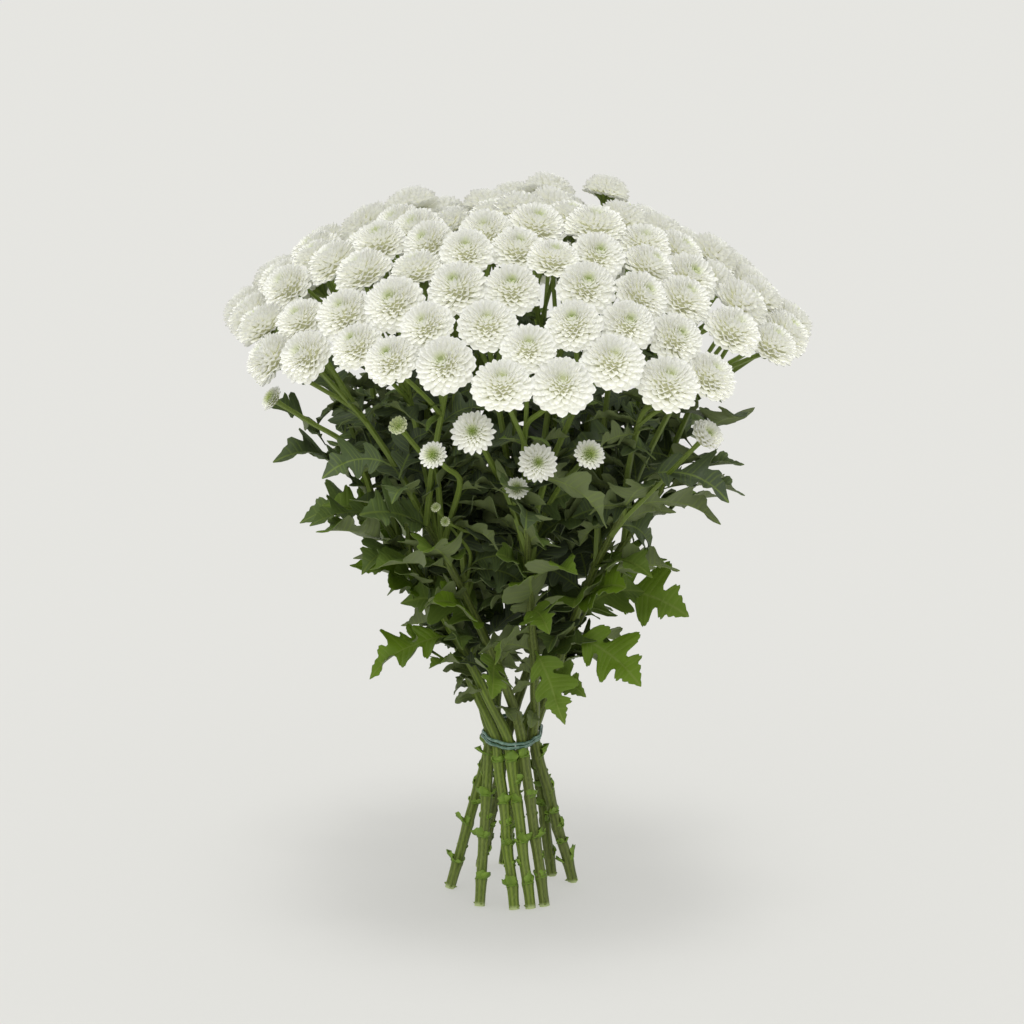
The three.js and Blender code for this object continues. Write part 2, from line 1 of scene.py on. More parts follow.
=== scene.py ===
"""Looks of a tied bunch of white pompon spray chrysanthemums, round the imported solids.

The rule that places stems, heads and leaves is the one in the part's source, with the same seed,
so each fine piece lies where its solid is. Lengths are millimetres until a mesh is made, and
angles in tables are degrees.
"""
from dataclasses import dataclass
from math import acos, asin, atan2, cos, dist, exp, hypot, pi, sin, sqrt, tan, tanh

import bpy
import numpy as np
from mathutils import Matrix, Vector


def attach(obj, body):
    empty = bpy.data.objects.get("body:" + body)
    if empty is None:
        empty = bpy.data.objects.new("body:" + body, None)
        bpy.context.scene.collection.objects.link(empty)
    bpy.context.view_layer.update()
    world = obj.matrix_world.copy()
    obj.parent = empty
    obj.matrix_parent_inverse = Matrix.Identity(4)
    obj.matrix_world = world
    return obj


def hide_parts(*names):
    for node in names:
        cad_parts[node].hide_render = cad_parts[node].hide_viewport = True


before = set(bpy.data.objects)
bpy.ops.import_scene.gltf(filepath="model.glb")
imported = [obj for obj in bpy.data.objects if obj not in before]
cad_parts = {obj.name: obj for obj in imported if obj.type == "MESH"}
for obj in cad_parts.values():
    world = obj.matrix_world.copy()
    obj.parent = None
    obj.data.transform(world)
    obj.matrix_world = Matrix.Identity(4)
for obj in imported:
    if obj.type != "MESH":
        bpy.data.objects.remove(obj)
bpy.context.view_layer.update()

DEG = pi / 180
TURN = 2 * pi
MM = 0.001
SHIFT = np.array([-2.78, 1.39, 0.0])  # from the middle of the tie to the middle of the box

# Placing rule. A stem is its azimuth at the foot, the tie and the crown, and its foot's distance.
STEMS = [
    (121, 95, 35, 43), (185, 140, 75, 43), (239, 190, 115, 43), (272, 225, 155, 43),
    (287, 260, 195, 43), (301, 295, 235, 43), (371, 335, 275, 43), (396, 375, 315, 34),
    (458, 415, 355, 43),
]
TIE_HEIGHT = 113
TIE_RING = 15
CROWN_HEIGHT = 300
SWIRL = 55
SPLAY = 0.30
SPLAY_GROWTH = 0.0011
STEM_RADIUS = 3.5
NODE_SPACING = 27
GROUP_COUNT = 37
GROUP_SIZE = 3
BLOOM_RADIUS = 18.3
BLOOM_VARIATION = 0.09
DOME_RADIUS = 184
DOME_RISE = 110
DOME_POWER = 2.5
RIM_HEIGHT = 354
RIM_RADIUS = 181
LIFT = 9
REACH_SCATTER = 5
RIM_TILT = 48 * DEG
TOUCH = 3.9
CLEARANCE = -0.2
HEIGHT_WEIGHT = 1.5
LONE_HEIGHT_WEIGHT = 0.5
SETTLE_ROUNDS = 240
SETTLE_SHARE = 0.25
PUSH_RANGE = 55
LONE_PUSH_RANGE = 90
SPIRAL_POWER = 0.43
HEAD_SPACING = 1.15
GOLDEN_ANGLE = 137.50776 * DEG
LOWEST_BRANCH = 160
BRANCH_RISE = 0.96
SHORTEST_BRANCH = 30
FORK_DEPTH = 62
FORK_SCATTER = 8
FORK_STEP = 7
HEAD_BASE = -0.3
# Name, place, radius, tilt and kind
LONE_BLOOMS = [
    ("bloom_low_left", -49, -150, 348, 9.5, 60, "small"),
    ("bloom_low_left_large", -24, -158, 365, 14.5, 62, "pointed"),
    ("bloom_low_middle", 16, -152, 344, 13, 70, "pointed"),
    ("bloom_low_right", 48, -145, 347, 10.5, 58, "small"),
    ("bloom_half_open", 122, -113, 350, 11, 45, "half_open"),
    ("bloom_low_far_left", -153, -85, 368, 9, 55, "small"),
    ("bloom_high", 63, 60, 474, 15.5, 22, "pompon"),
]
BUDS = [
    (-70, -135, 362, 7.5, 50, "bud"), (3, -133, 322, 7.6, 62, "small"),
    (-48, -112, 303, 3.8, 50, "bud"), (-42, -112, 294, 3.8, 65, "bud"),
]
# Stem, height, heading, rise, length and roll
FEATURE_LEAVES = [
    (8, 214, 348, 8, 66, 62), (7, 190, 338, -8, 60, 55), (6, 186, 302, -30, 56, 48),
    (4, 188, 192, 2, 66, -16), (3, 262, 184, 14, 68, -14), (8, 286, 340, 24, 58, -12),
]
FIRST_LEAF = 168
LEAF_SPACING = 38
LEAF_LENGTHS = [50, 64, 68, 62]
LEAF_RISES = [24, 52, 40, 56]
LEAF_DROOP = 45
LEAF_FOLD = 0.22
LEAF_WAVE = 0.05
LEAF_WAVE_RATE = 11
LEAF_SIDE = 18
HEIGHT_SCATTER, HEADING_SCATTER, RISE_SCATTER, LENGTH_SCATTER, ROLL_SCATTER = 10, 8, 16, 0.12, 50
SIDE_CLEARANCE = 1.1
WIDEST_CLEARANCE = 0.3
CLEAR_TRIES = 8
CLEAR_GAP = 2
CLEAR_STEP = 10


class Random:
    def __init__(self, seed):
        self.state = seed

    def next(self):
        self.state = (self.state * 1664525 + 1013904223) & 0xFFFFFFFF
        return self.state / 4294967296

    def spread(self, amount):
        return (self.next() * 2 - 1) * amount


@dataclass(eq=False)
class Bloom:
    at: np.ndarray
    radius: float
    axis: np.ndarray = None
    group: list = None
    lift: float = 0.0
    kind: str = "pompon"


def polar(radius, azimuth, z):
    return np.array([radius * cos(azimuth), radius * sin(azimuth), z])


def unit(v):
    return v / sqrt(v @ v)


def axis_from(azimuth, tilt):
    return polar(sin(tilt), azimuth, cos(tilt))


def frame_across(axis):
    across = np.array([-axis[1], axis[0], 0.0])
    if across @ across < 1e-12:
        across = np.array([1.0, 0.0, 0.0])
    across = unit(across)
    return across, np.cross(axis, across)


def around(across, side, angle):
    return across * cos(angle) + side * sin(angle)


def stem_azimuth(stem, z):
    full = 1 - exp((TIE_HEIGHT - CROWN_HEIGHT) / SWIRL)
    turned = (1 - exp((TIE_HEIGHT - z) / SWIRL)) / full
    return (stem[1] + (stem[2] - stem[1]) * turned) * DEG


def stem_reach(z):
    rise = z - TIE_HEIGHT
    return TIE_RING + SPLAY * rise + SPLAY_GROWTH * rise * rise


def stem_point(stem, z):
    if z >= TIE_HEIGHT:
        return polar(stem_reach(z), stem_azimuth(stem, z), z)
    foot = polar(stem[3], stem[0] * DEG, 0)
    tie = polar(TIE_RING, stem[1] * DEG, TIE_HEIGHT)
    return foot + (tie - foot) * (z / TIE_HEIGHT)


def dome_axis(x, y):
    return axis_from(atan2(y, x), RIM_TILT * (hypot(x, y) / RIM_RADIUS))


def place_group(group):
    for bloom in group:
        inward = min(1, RIM_RADIUS / hypot(bloom.at[0], bloom.at[1]))
        bloom.at[0] *= inward
        bloom.at[1] *= inward
    x = sum(bloom.at[0] for bloom in group) / len(group)
    y = sum(bloom.at[1] for bloom in group) / len(group)
    axis = dome_axis(x, y)
    middle = (1 - (hypot(x, y) / DOME_RADIUS) ** DOME_POWER) ** (1 / DOME_POWER)
    z = RIM_HEIGHT + DOME_RISE * middle + group[0].lift
    for bloom in group:
        bx, by = bloom.at[0], bloom.at[1]
        bloom.at[2] = z - ((bx - x) * axis[0] + (by - y) * axis[1]) / axis[2]
        bloom.axis = dome_axis(bx, by)


def apart(p, q):
    between = q.at - p.at
    axis = unit(p.axis + q.axis)
    along = between @ axis
    across = between - along * axis
    weight = HEIGHT_WEIGHT if p.group and q.group else LONE_HEIGHT_WEIGHT
    return across, hypot(sqrt(across @ across), weight * along)


def near_pairs(everyone):
    """Pairs that are close enough to push each other apart in this round, in order."""
    where = np.array([bloom.at for bloom in everyone])
    lone = np.array([bloom.group is None for bloom in everyone])
    distance = np.linalg.norm(where[:, None] - where[None], axis=2)
    near = distance < np.where(lone[:, None] | lone[None], LONE_PUSH_RANGE, PUSH_RANGE)
    return [(int(i), int(j)) for i, j in np.argwhere(np.triu(near, 1))]


def settle(everyone, groups):
    for _ in range(SETTLE_ROUNDS):
        for i, j in near_pairs(everyone):
            p, q = everyone[i], everyone[j]
            together = p.group is not None and p.group is q.group
            touching = together and (p is p.group[1] or q is p.group[1])
            across, distance = apart(p, q)
            wanted = p.radius + q.radius + (-TOUCH if touching else CLEARANCE)
            if distance < wanted or together:
                size = sqrt(across @ across)
                share = SETTLE_SHARE * (distance - wanted) / max(size, 1)
                if p.group is not None:
                    p.at[:2] += across[:2] * share
                if q.group is not None:
                    q.at[:2] -= across[:2] * share
        for group in groups:
            place_group(group)


def lone_bloom(x, y, z, radius, tilt, kind):
    return Bloom(np.array([x, y, z], float), radius, axis_from(atan2(y, x), tilt * DEG), kind=kind)


def lay_out_blooms(draw):
    groups = []
    for k in range(GROUP_COUNT):
        group = []
        reach = RIM_RADIUS * ((k + 0.5) / GROUP_COUNT) ** SPIRAL_POWER + draw.spread(REACH_SCATTER)
        azimuth = k * GOLDEN_ANGLE
        lift = draw.spread(LIFT)
        turn = draw.next() * TURN
        for j in range(GROUP_SIZE):
            radius = BLOOM_RADIUS * (1 + draw.spread(BLOOM_VARIATION))
            bearing = turn + j * TURN / GROUP_SIZE
            x = reach * cos(azimuth) + HEAD_SPACING * radius * cos(bearing)
            y = reach * sin(azimuth) + HEAD_SPACING * radius * sin(bearing)
            group.append(Bloom(np.array([x, y, 0]), radius, group=group, lift=lift))
        groups.append(group)
    for group in groups:
        place_group(group)
    lone = [lone_bloom(*bloom) for _, *bloom in LONE_BLOOMS]
    settle([bloom for group in groups for bloom in group] + lone, groups)
    for _ in lone:
        draw.next()  # the part's source turns the solid head by this
    return groups, lone


def fork_under(blooms, draw):
    middle = sum(bloom.at for bloom in blooms) / len(blooms)
    axis = unit(sum(bloom.axis for bloom in blooms))
    depth = FORK_DEPTH + draw.spread(FORK_SCATTER)
    return middle - axis * depth, hypot(axis[0], axis[1]) / axis[2]


def nearest_stem(x, y):
    azimuth = atan2(y, x)
    turns = [cos(azimuth - stem[2] * DEG) for stem in STEMS]
    return turns.index(max(turns))


def wrap(angle):
    return atan2(sin(angle), cos(angle))


def branch_curve(stem, fork, end_slope, count):
    """Points of a side branch, from its root on the stem to its fork."""
    reach = hypot(fork[0], fork[1])
    root_height = min(LOWEST_BRANCH + BRANCH_RISE * reach, fork[2] - SHORTEST_BRANCH)
    rise = fork[2] - root_height
    start_reach = stem_reach(root_height)
    start_slope = SPLAY + 2 * SPLAY_GROWTH * (root_height - TIE_HEIGHT)
    offset = wrap(atan2(fork[1], fork[0]) - stem_azimuth(stem, fork[2]))
    points = []
    for step in range(count + 1):
        u = step / count
        z = root_height + rise * u
        ease = u * u * (3 - 2 * u)
        leave = u * (1 - u) * (1 - u) * start_slope * rise
        arrive = u * u * (u - 1) * end_slope * rise
        radius = start_reach + (reach - start_reach) * ease + leave + arrive
        points.append(polar(radius, stem_azimuth(stem, z) + offset * u, z))
    return points


def keep_to_side(point, index):
    stem = STEMS[index]
    height = max(point[2], TIE_HEIGHT)
    own = stem_azimuth(stem, height)
    offset = wrap(atan2(point[1], point[0]) - own)
    neighbour = STEMS[(index + (1 if offset > 0 else len(STEMS) - 1)) % len(STEMS)]
    between = cos(stem_azimuth(neighbour, height) - own)
    reach = hypot(point[0], point[1])
    limit = acos(between) / 2 - asin(min(SIDE_CLEARANCE / reach, WIDEST_CLEARANCE))
    held = limit * tanh(offset / limit)
    return polar(reach, own + held, point[2])


@dataclass
class Leaf:
    """A leaf's place and bend. along and across are shares of its length."""
    stem: int
    z: float
    heading: float
    rise: float
    length: float
    roll: float
    root: np.ndarray = None
    droop: float = LEAF_DROOP
    width: float = 1.0
    held: bool = False

    def __post_init__(self):
        if self.root is None:
            self.root = stem_point(STEMS[self.stem], self.z)

    def place(self, along, across, lift=0.0):
        out = polar(1, self.heading * DEG, 0)
        level = np.array([-out[1], out[0], 0.0])
        roll = self.roll * DEG
        rise = (self.rise - 0.5 * self.droop * along) * DEG
        end_rise = (self.rise - self.droop * along) * DEG
        point = self.root + out * (self.length * along * cos(rise))
        point[2] += self.length * along * sin(rise)
        up = -sin(end_rise) * out
        up[2] = cos(end_rise)
        across *= self.width
        wave = LEAF_WAVE * sin(LEAF_WAVE_RATE * along) * min(1, 8 * abs(across))
        fold = LEAF_FOLD * abs(across) + wave
        wide = level * cos(roll) + up * sin(roll)
        high = up * cos(roll) - level * sin(roll)
        point = point + wide * (self.length * across) + high * (self.length * (fold + lift))
        return keep_to_side(point, self.stem) if self.held else point


LEAF_PROBES = [(0.4, 0.25), (0.4, -0.25), (0.7, 0.34), (0.7, -0.34), (0.68, 0), (1, 0)]


def clear_of_blooms(leaf, blooms):
    """Turns a leaf down until it is out of the heads."""
    for _ in range(CLEAR_TRIES):
        probes = [leaf.place(along, across) for along, across in LEAF_PROBES]
        if not any(dist(p, b.at) < b.radius + CLEAR_GAP for p in probes for b in blooms):
            return leaf
        leaf.rise -= CLEAR_STEP
    return leaf


def rule_leaves(draw):
    leaves = []
    for index, stem in enumerate(STEMS):
        for j, length in enumerate(LEAF_LENGTHS):
            z = FIRST_LEAF + LEAF_SPACING * j + draw.spread(HEIGHT_SCATTER)
            side = LEAF_SIDE if j % 2 == 0 else -LEAF_SIDE
            heading = stem_azimuth(stem, z) / DEG + side + draw.spread(HEADING_SCATTER)
            rise = LEAF_RISES[j] + draw.spread(RISE_SCATTER)
            length = length * (1 + draw.spread(LENGTH_SCATTER))
            roll = draw.spread(ROLL_SCATTER)
            leaves.append(Leaf(index, z, heading, rise, length, roll, held=True))
    return leaves


# Mesh making
class Builder:
    """Gathers points, faces and a four-part look value per point, then makes one object."""

    def __init__(self):
        self.points = []
        self.faces = []
        self.looks = []
        self.count = 0

    def add(self, points, faces, look):
        points = np.asarray(points, float).reshape(-1, 3)
        look = np.broadcast_to(np.asarray(look, float), (len(points), 4))
        self.points.append(points)
        self.looks.append(look)
        self.faces.extend(tuple(int(i) + self.count for i in face) for face in faces)
        self.count += len(points)

    def make(self, name, material, node, slot, sharp=50):
        mesh = bpy.data.meshes.new(name)
        points = (np.concatenate(self.points) + SHIFT) * MM
        points[:, 2] = np.maximum(points[:, 2], 0)
        mesh.from_pydata(points.tolist(), [], self.faces)
        layer = mesh.attributes.new("look", "FLOAT_COLOR", "POINT")
        layer.data.foreach_set("color", np.concatenate(self.looks).astype(np.float32).ravel())
        mesh.materials.append(material)
        mesh.validate()
        mesh.shade_smooth()
        mesh.set_sharp_from_angle(angle=sharp * DEG)
        piece = bpy.data.objects.new(name, mesh)
        bpy.context.scene.collection.objects.link(piece)
        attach(piece, "root")
        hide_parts(node)
        all_pieces.objects.link(piece)
        return piece


def ring_angles(sides):
    return np.arange(sides) / sides * TURN


def ring_faces(rings, sides, looped=False):
    """Faces between rings of points, and from the last ring to the first in a loop."""
    faces = []
    for k in range(rings if looped else rings - 1):
        low, high = k * sides, (k + 1) % rings * sides
        for i in range(sides):
            j = (i + 1) % sides
            faces.append((low + i, low + j, high + j, high + i))
    return faces


def end_faces(rings, sides):
    return [tuple(range(sides - 1, -1, -1)), tuple((rings - 1) * sides + i for i in range(sides))]


def blade_faces(rows, columns):
    """Faces of a closed blade: a grid of points, the same grid on the other side, and the rim."""
    n = rows * columns
    faces = []
    for i in range(rows - 1):
        for a in range(i * columns, (i + 1) * columns - 1):
            b = a + columns
            faces += [(a, b, b + 1, a + 1), (a + n, a + 1 + n, b + 1 + n, b + n)]
    rim = list(range(columns)) + [i * columns + columns - 1 for i in range(1, rows)]
    rim += [(rows - 1) * columns + j for j in range(columns - 2, -1, -1)]
    rim += [i * columns for i in range(rows - 2, 0, -1)]
    return faces + [(a, b, b + n, a + n) for a, b in zip(rim, rim[1:] + rim[:1])]


def smooth_path(points, count):
    """A curve through the points, evenly stepped between them."""
    points = [np.asarray(p, float) for p in points]
    padded = [2 * points[0] - points[1]] + points + [2 * points[-1] - points[-2]]
    path = []
    for k in range(len(points) - 1):
        a, b, c, d = padded[k:k + 4]
        for step in range(count):
            t = step / count
            path.append(0.5 * (2 * b + (c - a) * t + (2 * a - 5 * b + 4 * c - d) * t * t
                               + (3 * b - a - 3 * c + d) * t ** 3))
    path.append(points[-1])
    return path


def tube(builder, path, radii, sides, look, ribs=0, rib_height=0.0):
    """A closed tube. look is (tone, height of the first point, height of the last, kind)."""
    path = np.asarray(path)
    steps = len(path)
    along = np.gradient(path, axis=0)
    along /= np.linalg.norm(along, axis=1)[:, None]
    across = np.array([1.0, 0.0, 0.0])
    points = np.empty((steps, sides, 3))
    looks = np.empty((steps, sides, 4))
    angles = ring_angles(sides)
    wave = np.cos(ribs * angles) if ribs else np.zeros(sides)
    for k in range(steps):
        across = across - along[k] * (across @ along[k])
        across = unit(across)
        side = np.cross(along[k], across)
        radius = radii[k] * (1 + rib_height * wave)
        points[k] = (path[k] + np.outer(np.cos(angles) * radius, across)
                     + np.outer(np.sin(angles) * radius, side))
        looks[k, :, 0] = look[0]
        looks[k, :, 1] = look[1] + (look[2] - look[1]) * k / (steps - 1)
        # Ridges 1 and valleys 0, which the stem material paints lighter and darker as painted highlight
        # and shade.
        looks[k, :, 2] = 0.5 + 0.5 * wave
        looks[k, :, 3] = look[3]
    faces = ring_faces(steps, sides) + end_faces(steps, sides)
    builder.add(points, faces, looks.reshape(-1, 4))


# Flower heads: tiers of cupped petals round a core. A tier is the reach and height of its tips,
# its number of petals, how far they are cupped and how much of their spacing they fill, for a
# head of radius 1.
TIERS = {
    "pompon": [
        (1, -0.1, 17, 0.25, 0.98), (1, 0.03, 18, 0.28, 0.98), (0.97, 0.16, 19, 0.34, 0.96),
        (0.92, 0.28, 19, 0.42, 0.92), (0.85, 0.385, 19, 0.5, 0.88), (0.765, 0.475, 18, 0.6, 0.84),
        (0.665, 0.55, 17, 0.65, 0.82), (0.555, 0.605, 15, 0.65, 0.82), (0.44, 0.64, 13, 0.65, 0.86),
        (0.33, 0.655, 11, 0.55, 0.9), (0.225, 0.645, 8, 0.5, 0.92), (0.13, 0.62, 5, 0.4, 0.95),
    ],
    "pointed": [
        (1, 0.02, 19, 0.3, 0.8), (0.88, 0.17, 19, 0.45, 0.78), (0.75, 0.29, 18, 0.6, 0.72),
        (0.63, 0.37, 17, 0.7, 0.68), (0.52, 0.43, 15, 0.75, 0.66), (0.42, 0.46, 13, 0.75, 0.66),
        (0.33, 0.47, 12, 0.7, 0.68), (0.25, 0.46, 10, 0.6, 0.72), (0.17, 0.44, 8, 0.5, 0.8),
        (0.1, 0.41, 5, 0.4, 0.95),
    ],
    "small": [
        (1, 0.16, 18, 0.3, 0.8), (0.86, 0.29, 18, 0.5, 0.78), (0.72, 0.38, 17, 0.65, 0.72),
        (0.58, 0.43, 15, 0.7, 0.68), (0.45, 0.45, 13, 0.7, 0.68), (0.34, 0.44, 11, 0.6, 0.72),
        (0.24, 0.42, 9, 0.5, 0.8), (0.14, 0.39, 6, 0.4, 0.95),
    ],
    "half_open": [
        (1.02, 0.36, 13, 0.4, 1), (0.94, 0.54, 13, 0.4, 1), (0.8, 0.68, 12, 0.45, 0.98),
        (0.64, 0.74, 11, 0.5, 0.95), (0.48, 0.72, 9, 0.5, 0.95), (0.32, 0.66, 7, 0.5, 0.95),
        (0.18, 0.6, 5, 0.4, 0.95),
    ],
    "bud": [
        (0.8, 0.62, 14, 0.3, 1.05), (0.66, 0.68, 13, 0.4, 1), (0.5, 0.6, 11, 0.4, 1),
        (0.34, 0.5, 8, 0.4, 1), (0.2, 0.42, 6, 0.4, 1),
    ],
}
PETAL_REACH = 1.05  # the loose petals stand a little further out than the solid head
BULGES = {"pompon": 0.06, "pointed": 0.04, "small": 0.08, "half_open": 0.28, "bud": 0.55}
# How far from the middle the green eye reaches, and how strong it is
EYES = {"pompon": (0.27, 0.8), "pointed": (0.42, 0.9), "small": (0.75, 0.95),
        "half_open": (0.5, 0.7), "bud": (1.5, 0.8)}
# A petal runs from a point at its root through rows of four corners: left, middle of the upper
# face, right and keel. Each row is its share of the length and of the full width.
FINE_ROWS = ((0.44, 0.62), (0.74, 1.0), (0.92, 0.72))
POINTED_ROWS = ((0.45, 0.70), (0.76, 1.0), (0.93, 0.52))
PLAIN_ROWS = ((0.72, 0.94), (0.95, 0.66))
FINE_TIERS = 4
CORNERS = np.array([-1.0, 0.0, 1.0, 0.0])
KEEL = np.array([0.0, 0.0, 0.0, 1.0])
KEEL_DEPTH = 0.28
TIP_REACH = np.array([-0.012, 0.085, -0.012, 0.0])
# How far petals stray from their even places: sideways, in reach, in height and in twist
STRAY, STRETCH, DROOP, TWIST = (-0.045, 0.045), (-0.07, 0.03), (-0.04, 0.035), (-0.25, 0.25)
# How much taller than its tiers a head is, and how green the eye of a pompon is
HEAD_STRETCH = (1.0, 1.16)
EYE_STRENGTH = (0.35, 1.0)


def petal_faces(rows):
    quads, triangles = [], []
    for corner in range(4):
        after = (corner + 1) % 4
        triangles.append((0, 1 + corner, 1 + after))
        for row in range(rows - 1):
            a, b = 1 + row * 4 + corner, 1 + row * 4 + after
            quads.append((a, a + 4, b + 4, b))
    last = 1 + 4 * (rows - 1)
    quads.append((last + 3, last + 2, last + 1, last))
    return np.array(quads), np.array(triangles)


FACES = {2: petal_faces(2), 3: petal_faces(3)}


def petal_tier(tier, index, bloom, spin, eye, chance):
    """Points, look and faces of all petals of one tier, in the head's own axes."""
    reach, height, count, cup, fill = tier
    if bloom.kind in ("pointed", "small"):
        rows = POINTED_ROWS
    else:
        rows = FINE_ROWS if index < FINE_TIERS or bloom.kind == "half_open" else PLAIN_ROWS
    azimuth = (np.arange(count) + 0.5 * (index % 2)) / count * TURN + spin
    azimuth = azimuth + chance.uniform(*STRAY, count)
    stretch = 1 + chance.uniform(*STRETCH, count)
    droop = chance.uniform(*DROOP, count)
    tip = np.stack([reach * stretch, height + droop], 1)
    root = np.array([0.30 * reach, 0.45 * height - 0.10])
    middle = 0.45 * root + 0.55 * tip + BULGES[bloom.kind] * np.array([reach, -0.55])
    share = np.concatenate([[0.0]] + [row[0] + TIP_REACH * (row is rows[-1]) for row in rows])
    wide = np.concatenate([[0.0]] + [row[1] * np.ones(4) for row in rows])
    corner = np.concatenate([[0.0], np.tile(CORNERS, len(rows))])
    keel = np.concatenate([[0.0], np.tile(KEEL, len(rows))])
    t = share[None, :, None]
    curve = (1 - t) ** 2 * root + 2 * t * (1 - t) * middle[:, None] + t * t * tip[:, None]
    slope = 2 * (1 - t) * (middle[:, None] - root) + 2 * t * (tip - middle)[:, None]
    slope /= np.linalg.norm(slope, axis=2)[:, :, None]
    normal = np.stack([-slope[:, :, 1], slope[:, :, 0]], 2)
    half = fill * pi * reach / count
    twist = chance.uniform(*TWIST, count)[:, None]
    width = half * wide * corner
    rise = half * wide * (cup * np.abs(corner) - KEEL_DEPTH * keel) + twist * width
    flat = curve + normal * rise[:, :, None]
    out_x, out_y = np.cos(azimuth)[:, None], np.sin(azimuth)[:, None]
    x = flat[:, :, 0] * out_x - width * out_y
    y = flat[:, :, 0] * out_y + width * out_x
    points = np.stack([x, y, flat[:, :, 1]], 2)
    size = len(share)
    look = np.empty((count, size, 4))
    look[:, :, 0] = share
    fade, strength = EYES[bloom.kind]
    look[:, :, 1] = eye * strength * max(0.0, 1 - (reach / fade) ** 1.5)
    look[:, :, 2] = chance.uniform(size=count)[:, None]
    look[:, :, 3] = np.abs(corner)
    offset = size * np.arange(count)[:, None, None]
    quads, triangles = FACES[len(rows)]
    faces = (quads + offset).reshape(-1, 4).tolist() + (triangles + offset).reshape(-1, 3).tolist()
    return points.reshape(-1, 3), look.reshape(-1, 4), faces


# Reach and height of the rings of a head's core, for tiers that rise to CORE_TOP
CORE_RINGS = [(0.3, -0.16), (0.6, -0.1), (0.64, 0.02), (0.55, 0.2), (0.38, 0.35), (0.16, 0.43)]
CORE_TOP = 0.56
CORE_TIP = 0.03
CORE_SIDES = 14


def core_dome(kind):
    """The closed heart of a head, which the petals stand on."""
    widest, top = TIERS[kind][0][0], TIERS[kind][-1][1]
    rings = [(r * widest, h * (top / CORE_TOP if h > 0 else 1)) for r, h in CORE_RINGS]
    points = [(r * cos(a), r * sin(a), h) for r, h in rings for a in ring_angles(CORE_SIDES)]
    faces = ring_faces(len(rings), CORE_SIDES)
    low, high = len(points), len(points) + 1
    last = low - CORE_SIDES
    points += [(0, 0, rings[0][1]), (0, 0, rings[-1][1] + CORE_TIP)]
    for i in range(CORE_SIDES):
        j = (i + 1) % CORE_SIDES
        faces += [(low, j, i), (high, last + i, last + j)]
    fade, strength = EYES[kind]
    reach = np.hypot(*np.array(points)[:, :2].T)
    look = [(0.0, strength * max(0.0, 1 - r / (1.3 * fade)), 0.5, 1) for r in reach]
    return np.array(points), faces, np.array(look)


CORES = {kind: core_dome(kind) for kind in TIERS}


def add_head(builder, bloom, chance):
    across, side = frame_across(bloom.axis)
    turn = np.array([across, side, bloom.axis])
    radius = bloom.radius * (PETAL_REACH if bloom.kind == "pompon" else 1)
    stretch = np.array([1, 1, chance.uniform(*HEAD_STRETCH)])
    spin = chance.uniform(0, TURN)
    eye = chance.uniform(*EYE_STRENGTH) if bloom.kind == "pompon" else 1.0
    for index, tier in enumerate(TIERS[bloom.kind]):
        points, look, faces = petal_tier(tier, index, bloom, spin, eye, chance)
        builder.add(bloom.at + (points * stretch * radius) @ turn, faces, look)
    points, faces, look = CORES[bloom.kind]
    builder.add(bloom.at + (points * stretch * radius) @ turn, faces, look * np.array([1, eye, 1, 1]))


# Stems
CUP_RINGS = [(0.11, -0.5), (0.16, -0.4), (0.3, -0.3), (0.46, -0.19), (0.5, -0.1), (0.4, -0.06)]
CUP_SIDES = 20
CUP_RIB = 0.07
CUP_TOOTH = 0.05


def add_cup(builder, bloom, tone):
    """The green cup under a head, ribbed by its bracts, which end as teeth."""
    across, side = frame_across(bloom.axis)
    reach, lowest = TIERS[bloom.kind][0][:2]
    last = len(CUP_RINGS) - 1
    points, looks = [], []
    for k, (radius, height) in enumerate(CUP_RINGS):
        for i, angle in enumerate(ring_angles(CUP_SIDES)):
            rib = i % 2
            r = radius * reach * (1 + CUP_RIB * rib * min(k, 3) / 3) * bloom.radius
            h = height + 0.5 * max(lowest, 0) * k / last + CUP_TOOTH * rib * (k == last - 1)
            out = around(across, side, angle)
            points.append(bloom.at + out * r + bloom.axis * (h * bloom.radius))
            # rib also lets the stem material paint the bulging ribs lighter and the grooves darker, as
            # painted highlight and shade.
            looks.append((tone, 0.5 + 0.1 * k, rib, 0.3))
    faces = ring_faces(len(CUP_RINGS), CUP_SIDES) + end_faces(len(CUP_RINGS), CUP_SIDES)
    builder.add(points, faces, looks)


FLAKE_ROWS = 6
FLAKE_COLUMNS = 5
FLAKE_HALF = 0.3  # half its thickness


def add_flake(builder, root, out, axis, length, width, curl, chance, tone, kind):
    """A torn scrap of leaf base: a small closed blade that curls back and is twisted."""
    up = unit(axis - out * (axis @ out))
    side = unit(np.cross(out, up))
    upper, lower = [], []
    twist = chance.uniform(-1.1, 1.1)
    for i in range(FLAKE_ROWS):
        t = i / (FLAKE_ROWS - 1)
        bend = curl * t
        centre = root + length * (out * (sin(bend) / curl) + up * ((1 - cos(bend)) / curl))
        high = up * cos(bend) - out * sin(bend)
        wide = side * cos(twist * t) + high * sin(twist * t)
        half = 0.5 * width * (0.7 + 0.55 * sin(2.2 * t)) * (1 - 0.3 * t ** 3)
        half *= 1 + chance.uniform(-0.18, 0.18)
        for c in np.linspace(-1, 1, FLAKE_COLUMNS):
            cup = 0.5 * half * c * c + 0.12 * width * sin(5 * t + 3 * c) * t
            torn = chance.uniform(-0.16, 0.16) * length * (i == FLAKE_ROWS - 1)
            point = centre + wide * (half * c) + high * cup + out * torn
            upper.append(point + high * FLAKE_HALF)
            lower.append(point - high * FLAKE_HALF)
    rib = 0.5 + 0.5 * np.abs(np.linspace(-1, 1, FLAKE_COLUMNS))
    looks = [(tone, 0.5, r, kind) for r in np.tile(rib, 2 * FLAKE_ROWS)]
    faces = [(a, d, c, b) for a, b, c, d in blade_faces(FLAKE_ROWS, FLAKE_COLUMNS)]
    builder.add(upper + lower, faces, looks)


